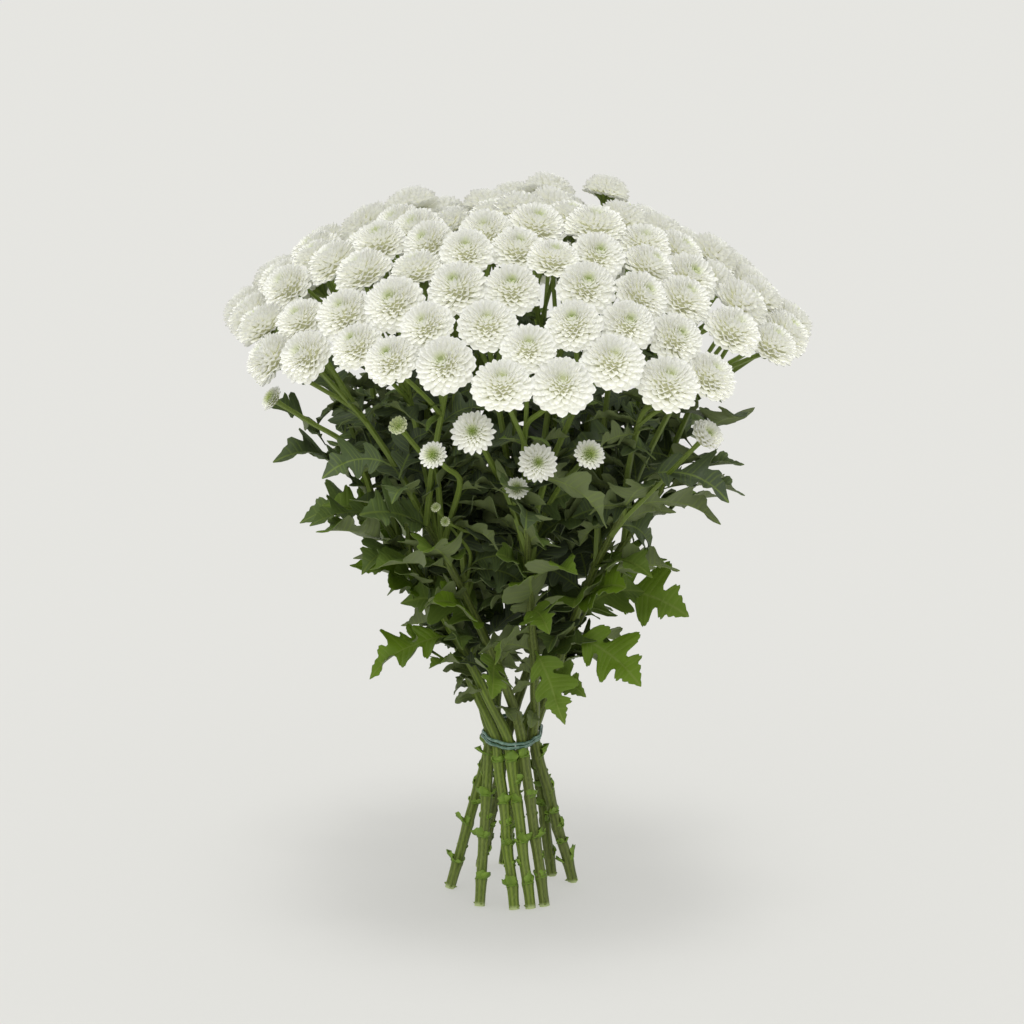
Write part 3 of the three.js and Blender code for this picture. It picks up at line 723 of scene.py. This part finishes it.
STEM_SIDES = 28
STEM_RIBS = 7
STEM_RIB_HEIGHT = 0.06
COARSE_STEP = 4.5
FINE_STEP = 1.6  # within FINE_RANGE of a node
FINE_RANGE = 6
SWAY = 0.5
SWAY_LENGTH = 8.5
TAPER = 1.2
TAPER_FROM = 170
FOOT_FLAKES = 4
FLAKE_ROOT = 0.8 * STEM_RADIUS
LIP_STEPS = 12


def main_stem_radius(z, nodes, top):
    """Thicker below the tie and at each node, and thinner towards the top."""
    radius = STEM_RADIUS if z < TIE_HEIGHT + 12 else STEM_RADIUS - 0.3
    radius -= TAPER * max(0.0, (z - TAPER_FROM) / max(top - TAPER_FROM, 1))
    for node, _ in nodes:
        radius += 0.5 * exp(-((z - node) / 1.8) ** 2) + 0.25 * exp(-((z - node + 3) / 4) ** 2)
    return radius


def add_main_stem(builder, stem, nodes, top, chance):
    tone = chance.uniform(0.0, 1.0)
    phase = chance.uniform(0, 6)
    heights = [0, 1.2]
    z = 3.5
    while z < top:
        heights.append(z)
        z += FINE_STEP if any(abs(z - node) < FINE_RANGE for node, _ in nodes) else COARSE_STEP
    path = []
    for z in heights:
        sway = SWAY * sin(z / SWAY_LENGTH + phase) * min(1, z / 20, abs(TIE_HEIGHT - z) / 20)
        path.append(stem_point(stem, z) + polar(sway, phase, 0))
    radii = [main_stem_radius(z, nodes, top) for z in heights]
    tube(builder, path, radii, STEM_SIDES, (tone, 0, 1, 1), STEM_RIBS, STEM_RIB_HEIGHT)
    foot = stem_point(stem, 0)
    axis = unit(stem_point(stem, 20) - foot)
    across, side = frame_across(axis)
    for _ in range(FOOT_FLAKES):
        out = around(across, side, chance.uniform(0, TURN))
        root = foot + out * FLAKE_ROOT + axis * 1.4
        length = chance.uniform(1.0, 2.4)
        add_flake(builder, root, unit(out + axis * 0.2), axis, length, 1.8, 0.8, chance, 1.0, 0.8)
    for node, bearing in nodes:
        at = stem_point(stem, node)
        axis = unit(stem_point(stem, node + 4) - at)
        add_collar(builder, at, axis, bearing, tone, 1.0, chance)
        between = node + NODE_SPACING * chance.uniform(0.4, 0.6)
        if between < TIE_HEIGHT - 6:
            turned = bearing + chance.uniform(1.5, 4.5)
            add_collar(builder, stem_point(stem, between), axis, turned, tone, 0.7, chance)


def add_collar(builder, at, axis, bearing, tone, scale, chance):
    """What is left of a torn leaf: part of a lip round the stem and a few curled scraps."""
    out = polar(1, bearing, 0)
    out = unit(out - axis * (out @ axis))
    side = np.cross(axis, out)
    lip = []
    extent = chance.uniform(1.1, 2.2)
    for k in range(LIP_STEPS + 1):
        angle = (k / LIP_STEPS * 2 - 1) * extent
        reach = STEM_RADIUS + 0.45 + 0.35 * cos(angle) + chance.uniform(-0.12, 0.12)
        rise = 0.8 * cos(1.4 * angle) + chance.uniform(-0.35, 0.35)
        lip.append(at + around(out, side, angle) * reach + axis * rise)
    radii = [0.25 + 0.45 * scale * sin(pi * k / LIP_STEPS) for k in range(LIP_STEPS + 1)]
    tube(builder, lip, radii, 6, (min(1, tone + 0.3), 0.5, 0.6, 0.5))
    turns = [chance.uniform(*span) for span in ((-0.3, 0.3), (0.7, 1.4), (-0.7, -1.4), (2.0, 4.2))]
    sizes = [chance.uniform(*span) for span in ((7.5, 10.5), (5, 9), (5, 8), (4, 7))]
    for turn, size in list(zip(turns, sizes))[:chance.randint(2, 5)]:
        size *= scale
        bearing_out = around(out, side, turn)
        flake = unit(bearing_out + axis * chance.uniform(0.1, 1.0) + side * chance.uniform(-0.6, 0.6))
        curl = chance.uniform(0.5, 2.6)
        add_flake(builder, at + bearing_out * FLAKE_ROOT, flake, axis, size,
                  size * chance.uniform(0.5, 0.95), curl, chance, chance.uniform(0.6, 1.0), 0.5)


# Radius of a side branch, and of a flower stalk, at shares of its length
BRANCH_RADII = ([0, 0.5, 0.92, 1.0], [2.3, 1.75, 1.5, 1.9])
STALK_RADII = ([0, 0.2, 0.9, 1.0], [1.7, 1.45, 1.35, 1.8])
THIN_BRANCH = 0.6
SMALLEST_HEAD = 5


def add_stalk(builder, points, profile, scale, look):
    path = smooth_path(points, 6)
    radii = np.interp(np.linspace(0, 1, len(path)), *profile) * scale
    tube(builder, path, radii, 10, look, ribs=5, rib_height=0.07)


def add_spray(growth, foliage, stem, spray, heads, chance):
    """A side branch that runs on into the stalk of its first head, and the other stalks."""
    blooms, fork, slope = spray
    tone = chance.uniform(0.3, 0.9)
    points = branch_curve(stem, fork, slope, 2)
    ends = []
    for bloom in blooms:
        low = TIERS[bloom.kind][0][1]
        ends.append(bloom.at + bloom.axis * bloom.radius * (0.55 * HEAD_BASE + 0.5 * min(low, 0)))
    scale = THIN_BRANCH if blooms[0].radius < SMALLEST_HEAD else 1
    main = points + [0.5 * (points[-1] + ends[0]), ends[0]]
    add_stalk(growth, main, BRANCH_RADII, scale, (tone, 0.3, 1, 0.9))
    down = unit(points[1] - points[2])
    for k, end in enumerate(ends[1:]):
        root = fork + down * FORK_STEP * (k + 1)
        side = [root, root + (end - root) * 0.25 - down * 2, end - (end - root) * 0.2, end]
        add_stalk(growth, side, STALK_RADII, 1, (tone, 0.5, 1, 0.9))
        add_bract(foliage, root, end - root, chance)
    for bloom in blooms:
        add_cup(growth, bloom, tone)
    add_branch_leaves(foliage, points, heads, chance)


# Leaves. The outline gives the half width at each step along the midrib, measured along the
# side veins, which run forward.
SWEEP = 0.62
LOBED = [
    (0, 0.013), (0.07, 0.013), (0.12, 0.018), (0.15, 0.05), (0.165, 0.15), (0.18, 0.215),
    (0.2, 0.245), (0.215, 0.235), (0.23, 0.262), (0.25, 0.268), (0.265, 0.245), (0.28, 0.25),
    (0.3, 0.225), (0.315, 0.16), (0.33, 0.095), (0.36, 0.075), (0.385, 0.085), (0.4, 0.16),
    (0.415, 0.27), (0.435, 0.325), (0.455, 0.335), (0.47, 0.375), (0.495, 0.395), (0.515, 0.37),
    (0.53, 0.375), (0.555, 0.35), (0.57, 0.31), (0.585, 0.3), (0.6, 0.22), (0.615, 0.14),
    (0.64, 0.105), (0.665, 0.105), (0.68, 0.16), (0.7, 0.215), (0.72, 0.2), (0.735, 0.225),
    (0.755, 0.2), (0.77, 0.145), (0.79, 0.125), (0.815, 0.14), (0.84, 0.12), (0.865, 0.085),
    (0.89, 0.092), (0.915, 0.07), (0.94, 0.045), (0.965, 0.035), (0.985, 0.018), (1, 0.004),
]
LIGHT = [
    (0, 0.014), (0.12, 0.018), (0.16, 0.13), (0.19, 0.24), (0.235, 0.265), (0.28, 0.25),
    (0.32, 0.13), (0.36, 0.08), (0.395, 0.13), (0.42, 0.29), (0.47, 0.37), (0.52, 0.375),
    (0.565, 0.32), (0.6, 0.2), (0.64, 0.11), (0.67, 0.13), (0.7, 0.21), (0.74, 0.22),
    (0.78, 0.14), (0.83, 0.13), (0.88, 0.085), (0.94, 0.05), (1, 0.006),
]
SMALL = [
    (0, 0.02), (0.1, 0.025), (0.2, 0.08), (0.3, 0.17), (0.38, 0.2), (0.46, 0.17), (0.52, 0.18),
    (0.6, 0.24), (0.68, 0.22), (0.75, 0.15), (0.82, 0.16), (0.9, 0.12), (0.96, 0.07), (1, 0.01),
]
BRACT = [(0, 0.05), (0.15, 0.07), (0.35, 0.13), (0.55, 0.15), (0.75, 0.11), (0.9, 0.06), (1, 0.01)]
VEINS = [0.185, 0.235, 0.29, 0.44, 0.49, 0.55, 0.7, 0.745, 0.81]
VEIN_WIDTH = 0.05
BLADE_BULGE = 0.012
RIPPLES = 19
BLADE_HALF = 0.22  # half its thickness
BRANCH_LEAVES = 6


def add_leaf(builder, leaf, outline, columns, tone, chance, pale=0.0):
    wide = 2 * columns + 1
    phase = chance.uniform(0, 6)
    wave = chance.uniform(0.02, 0.06)
    surface, looks = [], []
    for s, width in outline:
        for v in np.linspace(-1, 1, wide):
            reach = width * abs(v)
            along = min(s + SWEEP * reach * (1 - s), 1.03)
            nearest = min(abs(s - vein) for vein in VEINS)
            bulge = BLADE_BULGE * sin(min(nearest / VEIN_WIDTH, 1) * pi / 2) * min(1, 6 * reach)
            ripple = wave * sin(RIPPLES * s + phase + 2 * np.sign(v)) * v * v * min(1, 5 * width)
            surface.append(leaf.place(along, v * width, bulge + ripple))
            looks.append((s, reach, tone, pale))
    surface = np.array(surface)
    rows = len(outline)
    grid = surface.reshape(rows, wide, 3)
    normal = np.cross(np.gradient(grid, axis=0), np.gradient(grid, axis=1)).reshape(-1, 3)
    normal /= np.maximum(np.linalg.norm(normal, axis=1), 1e-9)[:, None]
    points = np.concatenate([surface + normal * BLADE_HALF, surface - normal * BLADE_HALF])
    top, bottom = np.array(looks), np.array(looks)
    (bottom if normal[:, 2].mean() > 0 else top)[:, 3] = 1
    builder.add(points, blade_faces(rows, wide), np.concatenate([top, bottom]))


def loose_leaf(chance, stem, z, heading, root=None, **spans):
    """A leaf that only the scene has. Its other values are drawn from their spans, in their order."""
    values = {name: chance.uniform(*span) for name, span in spans.items()}
    return Leaf(stem, z, heading, root=root, **values)


def add_branch_leaves(builder, points, heads, chance):
    """Small leaves along a side branch under the heads, painted darker there as painted shade."""
    path = smooth_path(points, 8)
    for k in range(BRANCH_LEAVES):
        at = min(0.99, 0.15 + 0.9 * (k + chance.uniform(0, 0.8)) / BRANCH_LEAVES)
        root = path[int(at * (len(path) - 1))]
        inward = atan2(-root[1], -root[0]) / DEG + chance.uniform(-95, 95)
        leaf = loose_leaf(chance, 0, root[2], inward, root, length=(36, 58), rise=(0, 60), roll=(-60, 60),
                          droop=(10, 90), width=(0.8, 1.15))
        leaf.length *= 1.05 - 0.35 * at
        leaf = clear_of_blooms(leaf, heads)
        # The factor 0.6 paints these leaves darker, as painted shade under the heads.
        add_leaf(builder, leaf, LIGHT, 2, painted_light_tone(leaf, chance) * 0.6, chance)


def add_bract(builder, root, direction, chance):
    """A narrow leaflet where a stalk leaves its branch."""
    heading = atan2(direction[1], direction[0]) / DEG + chance.uniform(-90, 90)
    leaf = loose_leaf(chance, 0, 0, heading, root, rise=(10, 60), length=(12, 24), roll=(-40, 40),
                      droop=(20, 90))
    add_leaf(builder, leaf, BRACT, 2, chance.uniform(0.1, 0.6), chance)


def painted_light_tone(leaf, chance):
    """Outer leaves on the lower sides are painted bright as if lit, those under the heads painted dark as
    painted shade.
    """
    tip = leaf.place(1, 0)
    reach = hypot(tip[0], tip[1])
    low = max(0.0, min(1.0, (310 - leaf.root[2]) / 110))
    tone = (0.12 + 0.88 * low) * max(0.0, min(1.0, (reach - 45) / 45))
    return max(0.0, min(1.0, tone + chance.uniform(-0.15, 0.15)))


INNER_FROM, INNER_TO = 160, 335
CROSSWISE_BELOW = 215  # leaves lower than this point along the ring of stems
SHORT_BELOW = 200
TORN_HEIGHTS = (136, 147, 159)


def inner_leaves(index, chance):
    """Smaller leaves between the stems, which the solids leave out."""
    leaves = []
    z = INNER_FROM + chance.uniform(0, 8)
    while z < INNER_TO:
        step = len(leaves)
        out = stem_azimuth(STEMS[index], z) / DEG
        heading = out + 180 * (step % 3 > 0) + chance.uniform(-70, 70)
        if z < CROSSWISE_BELOW:
            heading = out + (90 if step % 2 else -90) + chance.uniform(-45, 45)
        leaves.append(loose_leaf(chance, index, z, heading, length=(42, 64), rise=(25, 70), roll=(-60, 60),
                                 droop=(30, 100), width=(0.8, 1.15)))
        if z < SHORT_BELOW:
            leaves[-1].length *= 0.75
        z += chance.uniform(7, 11)
    return leaves


def torn_leaves(index, chance):
    """Pale crumpled remains of leaves just above the tie."""
    leaves = []
    for z in TORN_HEIGHTS:
        z += chance.uniform(-5, 5)
        heading = stem_azimuth(STEMS[index], z) / DEG + chance.uniform(-80, 80)
        leaves.append(loose_leaf(chance, index, z, heading, rise=(30, 75), length=(15, 27), roll=(-70, 70),
                                 droop=(30, 120), width=(0.9, 1.4)))
    return leaves


# Materials
def colour(value):
    return (*value, 1) if isinstance(value, tuple) else (value, value, value, 1)


class Nodes:
    """Short calls that add and join shader nodes."""

    def __init__(self, name):
        self.material = bpy.data.materials.new(name)
        self.material.use_nodes = True
        self.tree = self.material.node_tree
        self.shader = self.tree.nodes["Principled BSDF"]
        self.look = self.tree.nodes.new("ShaderNodeAttribute")
        self.look.attribute_name = "look"
        parts = self.tree.nodes.new("ShaderNodeSeparateColor")
        self.put(parts.inputs[0], self.look.outputs["Color"])
        self.parts = parts.outputs

    def put(self, socket, value):
        if isinstance(value, bpy.types.NodeSocket):
            self.tree.links.new(value, socket)
        elif isinstance(value, tuple) and len(socket.default_value) == 4:
            socket.default_value = colour(value)
        else:
            socket.default_value = value

    def add(self, kind, inputs, output=0, **settings):
        node = self.tree.nodes.new("ShaderNode" + kind)
        for name, value in settings.items():
            setattr(node, name, value)
        for name, value in inputs.items():
            self.put(node.inputs[name], value)
        return node.outputs[output]

    def math(self, operation, a, b, clamp=False):
        return self.add("Math", {0: a, 1: b}, operation=operation, use_clamp=clamp)

    def mix(self, amount, a, b, kind="MIX"):
        inputs = {"Factor": amount, "A": a, "B": b}
        return self.add("Mix", inputs, "Result", data_type="RGBA", blend_type=kind)

    def noise(self, scale, detail, stretch=None):
        place = self.add("TexCoord", {}, "Object")
        if stretch:
            place = self.add("Mapping", {"Scale": stretch, "Vector": place})
        return self.add("TexNoise", {"Scale": scale, "Detail": detail, "Vector": place}, "Fac")

    def ramp(self, value, stops):
        node = self.tree.nodes.new("ShaderNodeValToRGB")
        elements = node.color_ramp.elements
        while len(elements) > 1:
            elements.remove(elements[-1])
        elements[0].position = stops[0][0]
        elements[0].color = colour(stops[0][1])
        for position, shade in stops[1:]:
            elements.new(position).color = colour(shade)
        self.put(node.inputs[0], value)
        return node.outputs[0]

    def bump(self, height, strength, distance):
        inputs = {"Strength": strength, "Distance": distance, "Height": height}
        self.put(self.shader.inputs["Normal"], self.add("Bump", inputs))

    def set(self, **values):
        for key, value in values.items():
            self.put(self.shader.inputs[key.replace("_", " ")], value)


def petal_material():
    n = Nodes("petal")
    along, eye, tone = n.parts[0], n.parts[1], n.parts[2]
    # Darker and yellower towards the root: partly the petal's own cream base, partly painted shade deep
    # inside the head.
    body = n.ramp(along, [
        (0.0, (0.58, 0.58, 0.38)), (0.35, (0.85, 0.85, 0.71)), (0.62, (0.945, 0.945, 0.865)),
        (0.88, (0.955, 0.955, 0.895)), (1.0, (0.915, 0.92, 0.87)),
    ])
    shade = n.mix(n.math("MULTIPLY", tone, 0.5), (1, 1, 1), (0.96, 0.96, 0.955))
    body = n.mix(1.0, body, shade, "MULTIPLY")
    edge = n.ramp(n.look.outputs["Alpha"], [(0.70, (1, 1, 1)), (1.0, (0.86, 0.87, 0.85))])
    body = n.mix(1.0, body, edge, "MULTIPLY")
    green = n.ramp(along, [
        (0.0, (0.13, 0.20, 0.012)), (0.6, (0.36, 0.47, 0.06)), (1.0, (0.68, 0.74, 0.28)),
    ])
    amount = n.ramp(eye, [(0.0, 0.0), (0.35, 0.35), (0.75, 0.9), (1.0, 1.0)])
    n.set(Base_Color=n.mix(amount, body, green), Roughness=0.62, Subsurface_Weight=0.22,
          Subsurface_Scale=0.002, Subsurface_Radius=(1.0, 1.0, 0.8), Specular_IOR_Level=0.3,
          Sheen_Weight=0.15, Sheen_Roughness=0.5)
    n.bump(n.noise(900, 2.0), 0.12, 0.0004)
    return n.material


def stem_material():
    n = Nodes("stem")
    tone, height, rib, kind = n.parts[0], n.parts[1], n.parts[2], n.look.outputs["Alpha"]
    # Painted shade and highlight: along the ribs the valleys are painted darker and the ridges lighter.
    dark = n.mix(rib, (0.044, 0.062, 0.008), (0.125, 0.16, 0.026))
    light = n.mix(rib, (0.064, 0.112, 0.006), (0.20, 0.29, 0.028))
    colour = n.mix(tone, dark, light)
    patch = n.noise(55, 4.0, (1, 1, 0.25))
    colour = n.mix(n.ramp(patch, [(0.35, 0.0), (0.7, 0.5)]), colour, (0.12, 0.14, 0.05))
    streak = n.noise(1500, 3.0, (1, 1, 0.03))
    colour = n.mix(n.ramp(streak, [(0.45, 0.0), (0.65, 0.35)]), colour, (0.25, 0.30, 0.09))
    branch = n.ramp(kind, [(0.84, 0.0), (0.88, 0.45), (0.92, 0.45), (0.96, 0.0)])
    colour = n.mix(branch, colour, (0.20, 0.28, 0.05))
    scrap = n.ramp(kind, [(0.40, 0.0), (0.45, 0.7), (0.55, 0.7), (0.60, 0.0)])
    leafy = n.mix(rib, (0.075, 0.155, 0.010), (0.19, 0.32, 0.035))
    colour = n.mix(scrap, colour, leafy)
    cut = n.ramp(height, [(0.0, 1.0), (0.012, 0.9), (0.022, 0.0)])
    is_main = n.math("GREATER_THAN", kind, 0.95)
    colour = n.mix(n.math("MULTIPLY", cut, is_main), colour, (0.42, 0.50, 0.22))
    n.set(Base_Color=colour, Roughness=n.ramp(patch, [(0.3, 0.42), (0.7, 0.62)]),
          Specular_IOR_Level=0.26)
    n.bump(streak, 0.35, 0.0004)
    return n.material


def leaf_material():
    n = Nodes("leaf")
    along, reach, tone, under = n.parts[0], n.parts[1], n.parts[2], n.look.outputs["Alpha"]
    patch = n.noise(38, 4.0)
    toned = n.math("ADD", tone, n.math("MULTIPLY", n.math("SUBTRACT", patch, 0.5), 0.5), clamp=True)
    # The tone picks the upper face's green from a dark blue-green, painted shade, to a bright green,
    # painted sunlight; the noise adds random tone.
    top = n.ramp(toned, [
        (0.0, (0.060, 0.080, 0.046)), (0.35, (0.094, 0.138, 0.042)), (0.7, (0.120, 0.190, 0.022)),
        (1.0, (0.134, 0.226, 0.012)),
    ])
    below = n.mix(patch, (0.105, 0.135, 0.052), (0.175, 0.215, 0.085))
    colour = n.mix(under, top, below)
    midrib = n.ramp(reach, [(0.0, 1.0), (0.009, 0.8), (0.02, 0.0)])
    stops = []
    for vein in VEINS:
        stops += [(vein - 0.012, 0.0), (vein, 0.75), (vein + 0.012, 0.0)]
    side = n.ramp(along, stops)
    fade = n.ramp(reach, [(0.0, 1.0), (0.30, 0.25)])
    vein = n.math("MAXIMUM", midrib, n.math("MULTIPLY", side, fade))
    colour = n.mix(n.math("MULTIPLY", vein, 0.62), colour, (0.20, 0.27, 0.05))
    inputs = {"Scale": 420, "Vector": n.add("TexCoord", {}, "Object")}
    cells = n.add("TexVoronoi", inputs, "Distance", feature="DISTANCE_TO_EDGE")
    net = n.ramp(cells, [(0.0, 1.0), (0.10, 0.0)])
    colour = n.mix(n.math("MULTIPLY", net, 0.14), colour, (0.13, 0.18, 0.04))
    n.set(Base_Color=colour, Roughness=n.ramp(patch, [(0.3, 0.46), (0.7, 0.62)]),
          Specular_IOR_Level=0.2)
    height = n.math("SUBTRACT", n.math("MULTIPLY", n.noise(260, 3.0), 0.5), n.math("MULTIPLY", vein, 0.8))
    n.bump(height, 0.4, 0.0005)
    return n.material


def tie_material():
    n = Nodes("tie")
    streak = n.noise(260, 3.0)
    amount = n.ramp(streak, [(0.35, 0.0), (0.7, 1.0)])
    n.set(Base_Color=n.mix(amount, (0.032, 0.10, 0.070), (0.19, 0.33, 0.245)), Roughness=0.18,
          Specular_IOR_Level=0.7, Coat_Weight=0.6, Coat_Roughness=0.1)
    n.bump(streak, 0.2, 0.0003)
    return n.material


# The tie: thin strands side by side, lower at the front
TIE_STRAND = 1.9
TIE_DIP = tan(10 * DEG)
TIE_GAP = 0.4
TIE_STEPS = 104
TIE_SUPPORT = STEM_RADIUS * 1.05
SMOOTHINGS = 3
# Height over the middle, wobble and its phase
STRANDS = [(1.3, 0.3, 0.0), (-1.3, 0.3, 2.0)]
STRAND_RADIUS = 1.15
CROSSING_RADIUS = 0.65


def tie_ring():
    """Points round the outside of the stems, at the height of the tie."""
    points = []
    for angle in ring_angles(TIE_STEPS):
        out = polar(1, angle, 0)
        best = None
        for stem in STEMS:
            near = stem_point(stem, TIE_HEIGHT)
            middle = stem_point(stem, TIE_HEIGHT + TIE_DIP * near[1])
            support = middle @ out
            if best is None or support > best[0]:
                best = (support, middle)
        centre = best[1] + out * (TIE_SUPPORT + TIE_GAP + TIE_STRAND / 2)
        centre[2] = TIE_HEIGHT + TIE_DIP * centre[1]
        points.append(centre)
    points = np.array(points)
    for _ in range(SMOOTHINGS):
        points[:, :2] = (np.roll(points, 1, 0) + 2 * points + np.roll(points, -1, 0))[:, :2] / 4
    return points


def ring_tube(builder, path, radius, flat, sides=10):
    """A closed loop of tube with an oval section."""
    along = np.roll(path, -1, 0) - np.roll(path, 1, 0)
    up = np.array([0, 0, 1.0])
    out = np.cross(along, up)
    out /= np.linalg.norm(out, axis=1)[:, None]
    angles = ring_angles(sides)
    points = (path[:, None] + out[:, None] * (radius * flat * np.cos(angles))[None, :, None]
              + up * (radius * np.sin(angles))[None, :, None])
    builder.add(points, ring_faces(len(path), sides, looped=True), (0, 0, 0, 0))


def make_tie(material):
    """Two strands, and a thinner one that crosses them."""
    builder = Builder()
    middle = tie_ring()
    angle = ring_angles(TIE_STEPS)
    for shift, wobble, phase in STRANDS:
        path = middle.copy()
        path[:, 2] += shift + wobble * np.sin(2 * angle + phase)
        ring_tube(builder, path, STRAND_RADIUS, 0.85)
    crossing = middle.copy()
    crossing[:, 2] += 1.5 * np.sin(angle + 0.9)
    crossing[:, :2] *= (1 + 1.1 / np.linalg.norm(middle[:, :2], axis=1))[:, None]
    ring_tube(builder, crossing, CROSSING_RADIUS, 0.8)
    builder.make("tie_strands", material, "elastic_tie", "tie")


LEAN_POWER = 0.55
LEAN_BACK = 0.06
LEAN_SCATTER = 0.16


def turn_out(bloom, chance):
    """Leans the heads of the middle rows further out, and each one its own way."""
    x, y = bloom.at[0], bloom.at[1]
    share = min(1, hypot(x, y) / RIM_RADIUS)
    tilt = RIM_TILT * share ** LEAN_POWER - LEAN_BACK * share
    jitter = LEAN_SCATTER * np.array([chance.normal(), chance.normal(), 0])
    bloom.axis = unit(axis_from(atan2(y, x), tilt) + jitter)


# Assembly
PLACING_SEED = 5
LEAN_SEED = 7
STEM_SEED = 100
GROUP_SEED = 200
LONE_SEED = 300
FIRST_NODE = 14
NODE_SCATTER = 6
LAST_NODE = TIE_HEIGHT - 12

petal, green, blade, rubber = petal_material(), stem_material(), leaf_material(), tie_material()
draw = Random(PLACING_SEED)
groups, lone = lay_out_blooms(draw)
buds = [lone_bloom(*bud) for bud in BUDS]
sprays = [(group, *fork_under(group, draw)) for group in groups + [[b] for b in lone + buds]]
everyone = [bloom for group in groups for bloom in group] + lone
main_leaves = rule_leaves(draw) + [Leaf(*leaf, held=True) for leaf in FEATURE_LEAVES]
main_leaves = [clear_of_blooms(leaf, everyone) for leaf in main_leaves]
lean_chance = np.random.RandomState(LEAN_SEED)
for group in groups:
    for bloom in group:
        turn_out(bloom, lean_chance)

# The overhead light is shaded by the stems and leaves only, so it stays soft between the heads.
# The front light leaves out the floor, which shows no long shadow.
stem_pieces = bpy.data.collections.new("stem_pieces")
all_pieces = bpy.data.collections.new("all_pieces")
for index, stem in enumerate(STEMS):
    chance = np.random.RandomState(STEM_SEED + index)
    own_sprays = [spray for spray in sprays if nearest_stem(spray[1][0], spray[1][1]) == index]
    own_leaves = [leaf for leaf in main_leaves if leaf.stem == index]
    nodes = []
    node = FIRST_NODE + draw.next() * NODE_SCATTER
    while node < LAST_NODE:
        middle = stem_point(stem, node)
        nodes.append((node, atan2(middle[1], middle[0]) + draw.spread(0.4)))
        node += NODE_SPACING
    growth, foliage, bud_heads = Builder(), Builder(), Builder()
    top = max(leaf.z for leaf in own_leaves)
    for spray in own_sprays:
        reach = hypot(spray[1][0], spray[1][1])
        top = max(top, min(LOWEST_BRANCH + BRANCH_RISE * reach, spray[1][2] - SHORTEST_BRANCH))
        add_spray(growth, foliage, stem, spray, everyone, chance)
        if spray[0][0] in buds:
            add_head(bud_heads, spray[0][0], chance)
    add_main_stem(growth, stem, nodes, top + 3, chance)
    for leaf in own_leaves:
        add_leaf(foliage, leaf, LOBED, 4, painted_light_tone(leaf, chance), chance)
    for leaf in inner_leaves(index, chance):
        leaf = clear_of_blooms(leaf, everyone)
        # The factor 0.8 paints the inner leaves darker, as painted shade between the stems.
        add_leaf(foliage, leaf, LIGHT, 2, painted_light_tone(leaf, chance) * 0.8, chance)
    for leaf in torn_leaves(index, chance):
        add_leaf(foliage, leaf, SMALL, 2, 0.4, chance, pale=chance.uniform(0.5, 1))
    name = f"stem_{index + 1}"
    for piece in (growth.make(f"{name}_growth", green, name, "green", sharp=55),
                  foliage.make(f"{name}_leaves", blade, name, "green", sharp=60)):
        stem_pieces.objects.link(piece)
    if bud_heads.count:
        bud_heads.make(f"{name}_buds", petal, name, "petal")

for k, group in enumerate(groups):
    builder = Builder()
    chance = np.random.RandomState(GROUP_SEED + k)
    for bloom in group:
        add_head(builder, bloom, chance)
    builder.make(f"bloom_group_{k + 1:02d}", petal, f"blooms_{k + 1:02d}", "petal")
for k, bloom in enumerate(lone):
    builder = Builder()
    add_head(builder, bloom, np.random.RandomState(LONE_SEED + k))
    builder.make(f"{LONE_BLOOMS[k][0]}_petals", petal, LONE_BLOOMS[k][0], "petal")
make_tie(rubber)

# Floor, light and camera
FLOOR_HALF = 30
FLOOR_LOOK = {
    "Base Color": (0.40, 0.398, 0.381, 1), "Emission Color": (1.0, 0.996, 0.955, 1),
    "Emission Strength": 0.41, "Roughness": 0.9, "Specular IOR Level": 0.0,
}
WORLD_STRENGTH = 0.60
LENS = 125.9
CAMERA_ELEVATION = 16 * DEG
CAMERA_DISTANCE = 2.4
CAMERA_AIM = Vector((SHIFT[0] * MM, SHIFT[1] * MM, 0.2685))

floor_mesh = bpy.data.meshes.new("floor")
corners = [(x * FLOOR_HALF, y * FLOOR_HALF, 0) for x, y in ((-1, -1), (1, -1), (1, 1), (-1, 1))]
floor_mesh.from_pydata(corners, [], [(0, 1, 2, 3)])
floor = bpy.data.objects.new("floor", floor_mesh)
bpy.context.scene.collection.objects.link(floor)
paper = bpy.data.materials.new("floor")
paper.use_nodes = True
for name, value in FLOOR_LOOK.items():
    paper.node_tree.nodes["Principled BSDF"].inputs[name].default_value = value
floor_mesh.materials.append(paper)

world = bpy.data.worlds.new("studio")
world.use_nodes = True
world.node_tree.nodes["Background"].inputs["Color"].default_value = (1.0, 1.0, 1.0, 1)
world.node_tree.nodes["Background"].inputs["Strength"].default_value = WORLD_STRENGTH
bpy.context.scene.world = world


def aim(thing, back):
    """Turns a lamp or a camera to look away from back."""
    thing.rotation_mode = "QUATERNION"
    thing.rotation_quaternion = back.to_track_quat("Z", "Y")
    bpy.context.scene.collection.objects.link(thing)


def add_sun(name, azimuth, elevation, strength, angle, blockers=None, receivers=None):
    light = bpy.data.lights.new(name, "SUN")
    light.energy = strength
    light.angle = angle * DEG
    lamp = bpy.data.objects.new(name, light)
    aim(lamp, Vector(polar(cos(elevation * DEG), azimuth * DEG, sin(elevation * DEG))))
    if blockers:
        lamp.light_linking.blocker_collection = blockers
    if receivers:
        lamp.light_linking.receiver_collection = receivers


add_sun("overhead", -90, 86, 1.1, 18, blockers=stem_pieces)
add_sun("front", -103, 50, 1.0, 40, receivers=all_pieces)

camera_data = bpy.data.cameras.new("camera")
camera_data.sensor_width = 36
camera_data.lens = LENS
camera_data.clip_start = 0.05
camera_data.clip_end = 100
camera = bpy.data.objects.new("camera", camera_data)
back = Vector((0, -cos(CAMERA_ELEVATION), sin(CAMERA_ELEVATION)))
camera.location = CAMERA_AIM + back * CAMERA_DISTANCE
aim(camera, back)
bpy.context.scene.camera = camera
bpy.context.scene.view_settings.view_transform = "Standard"
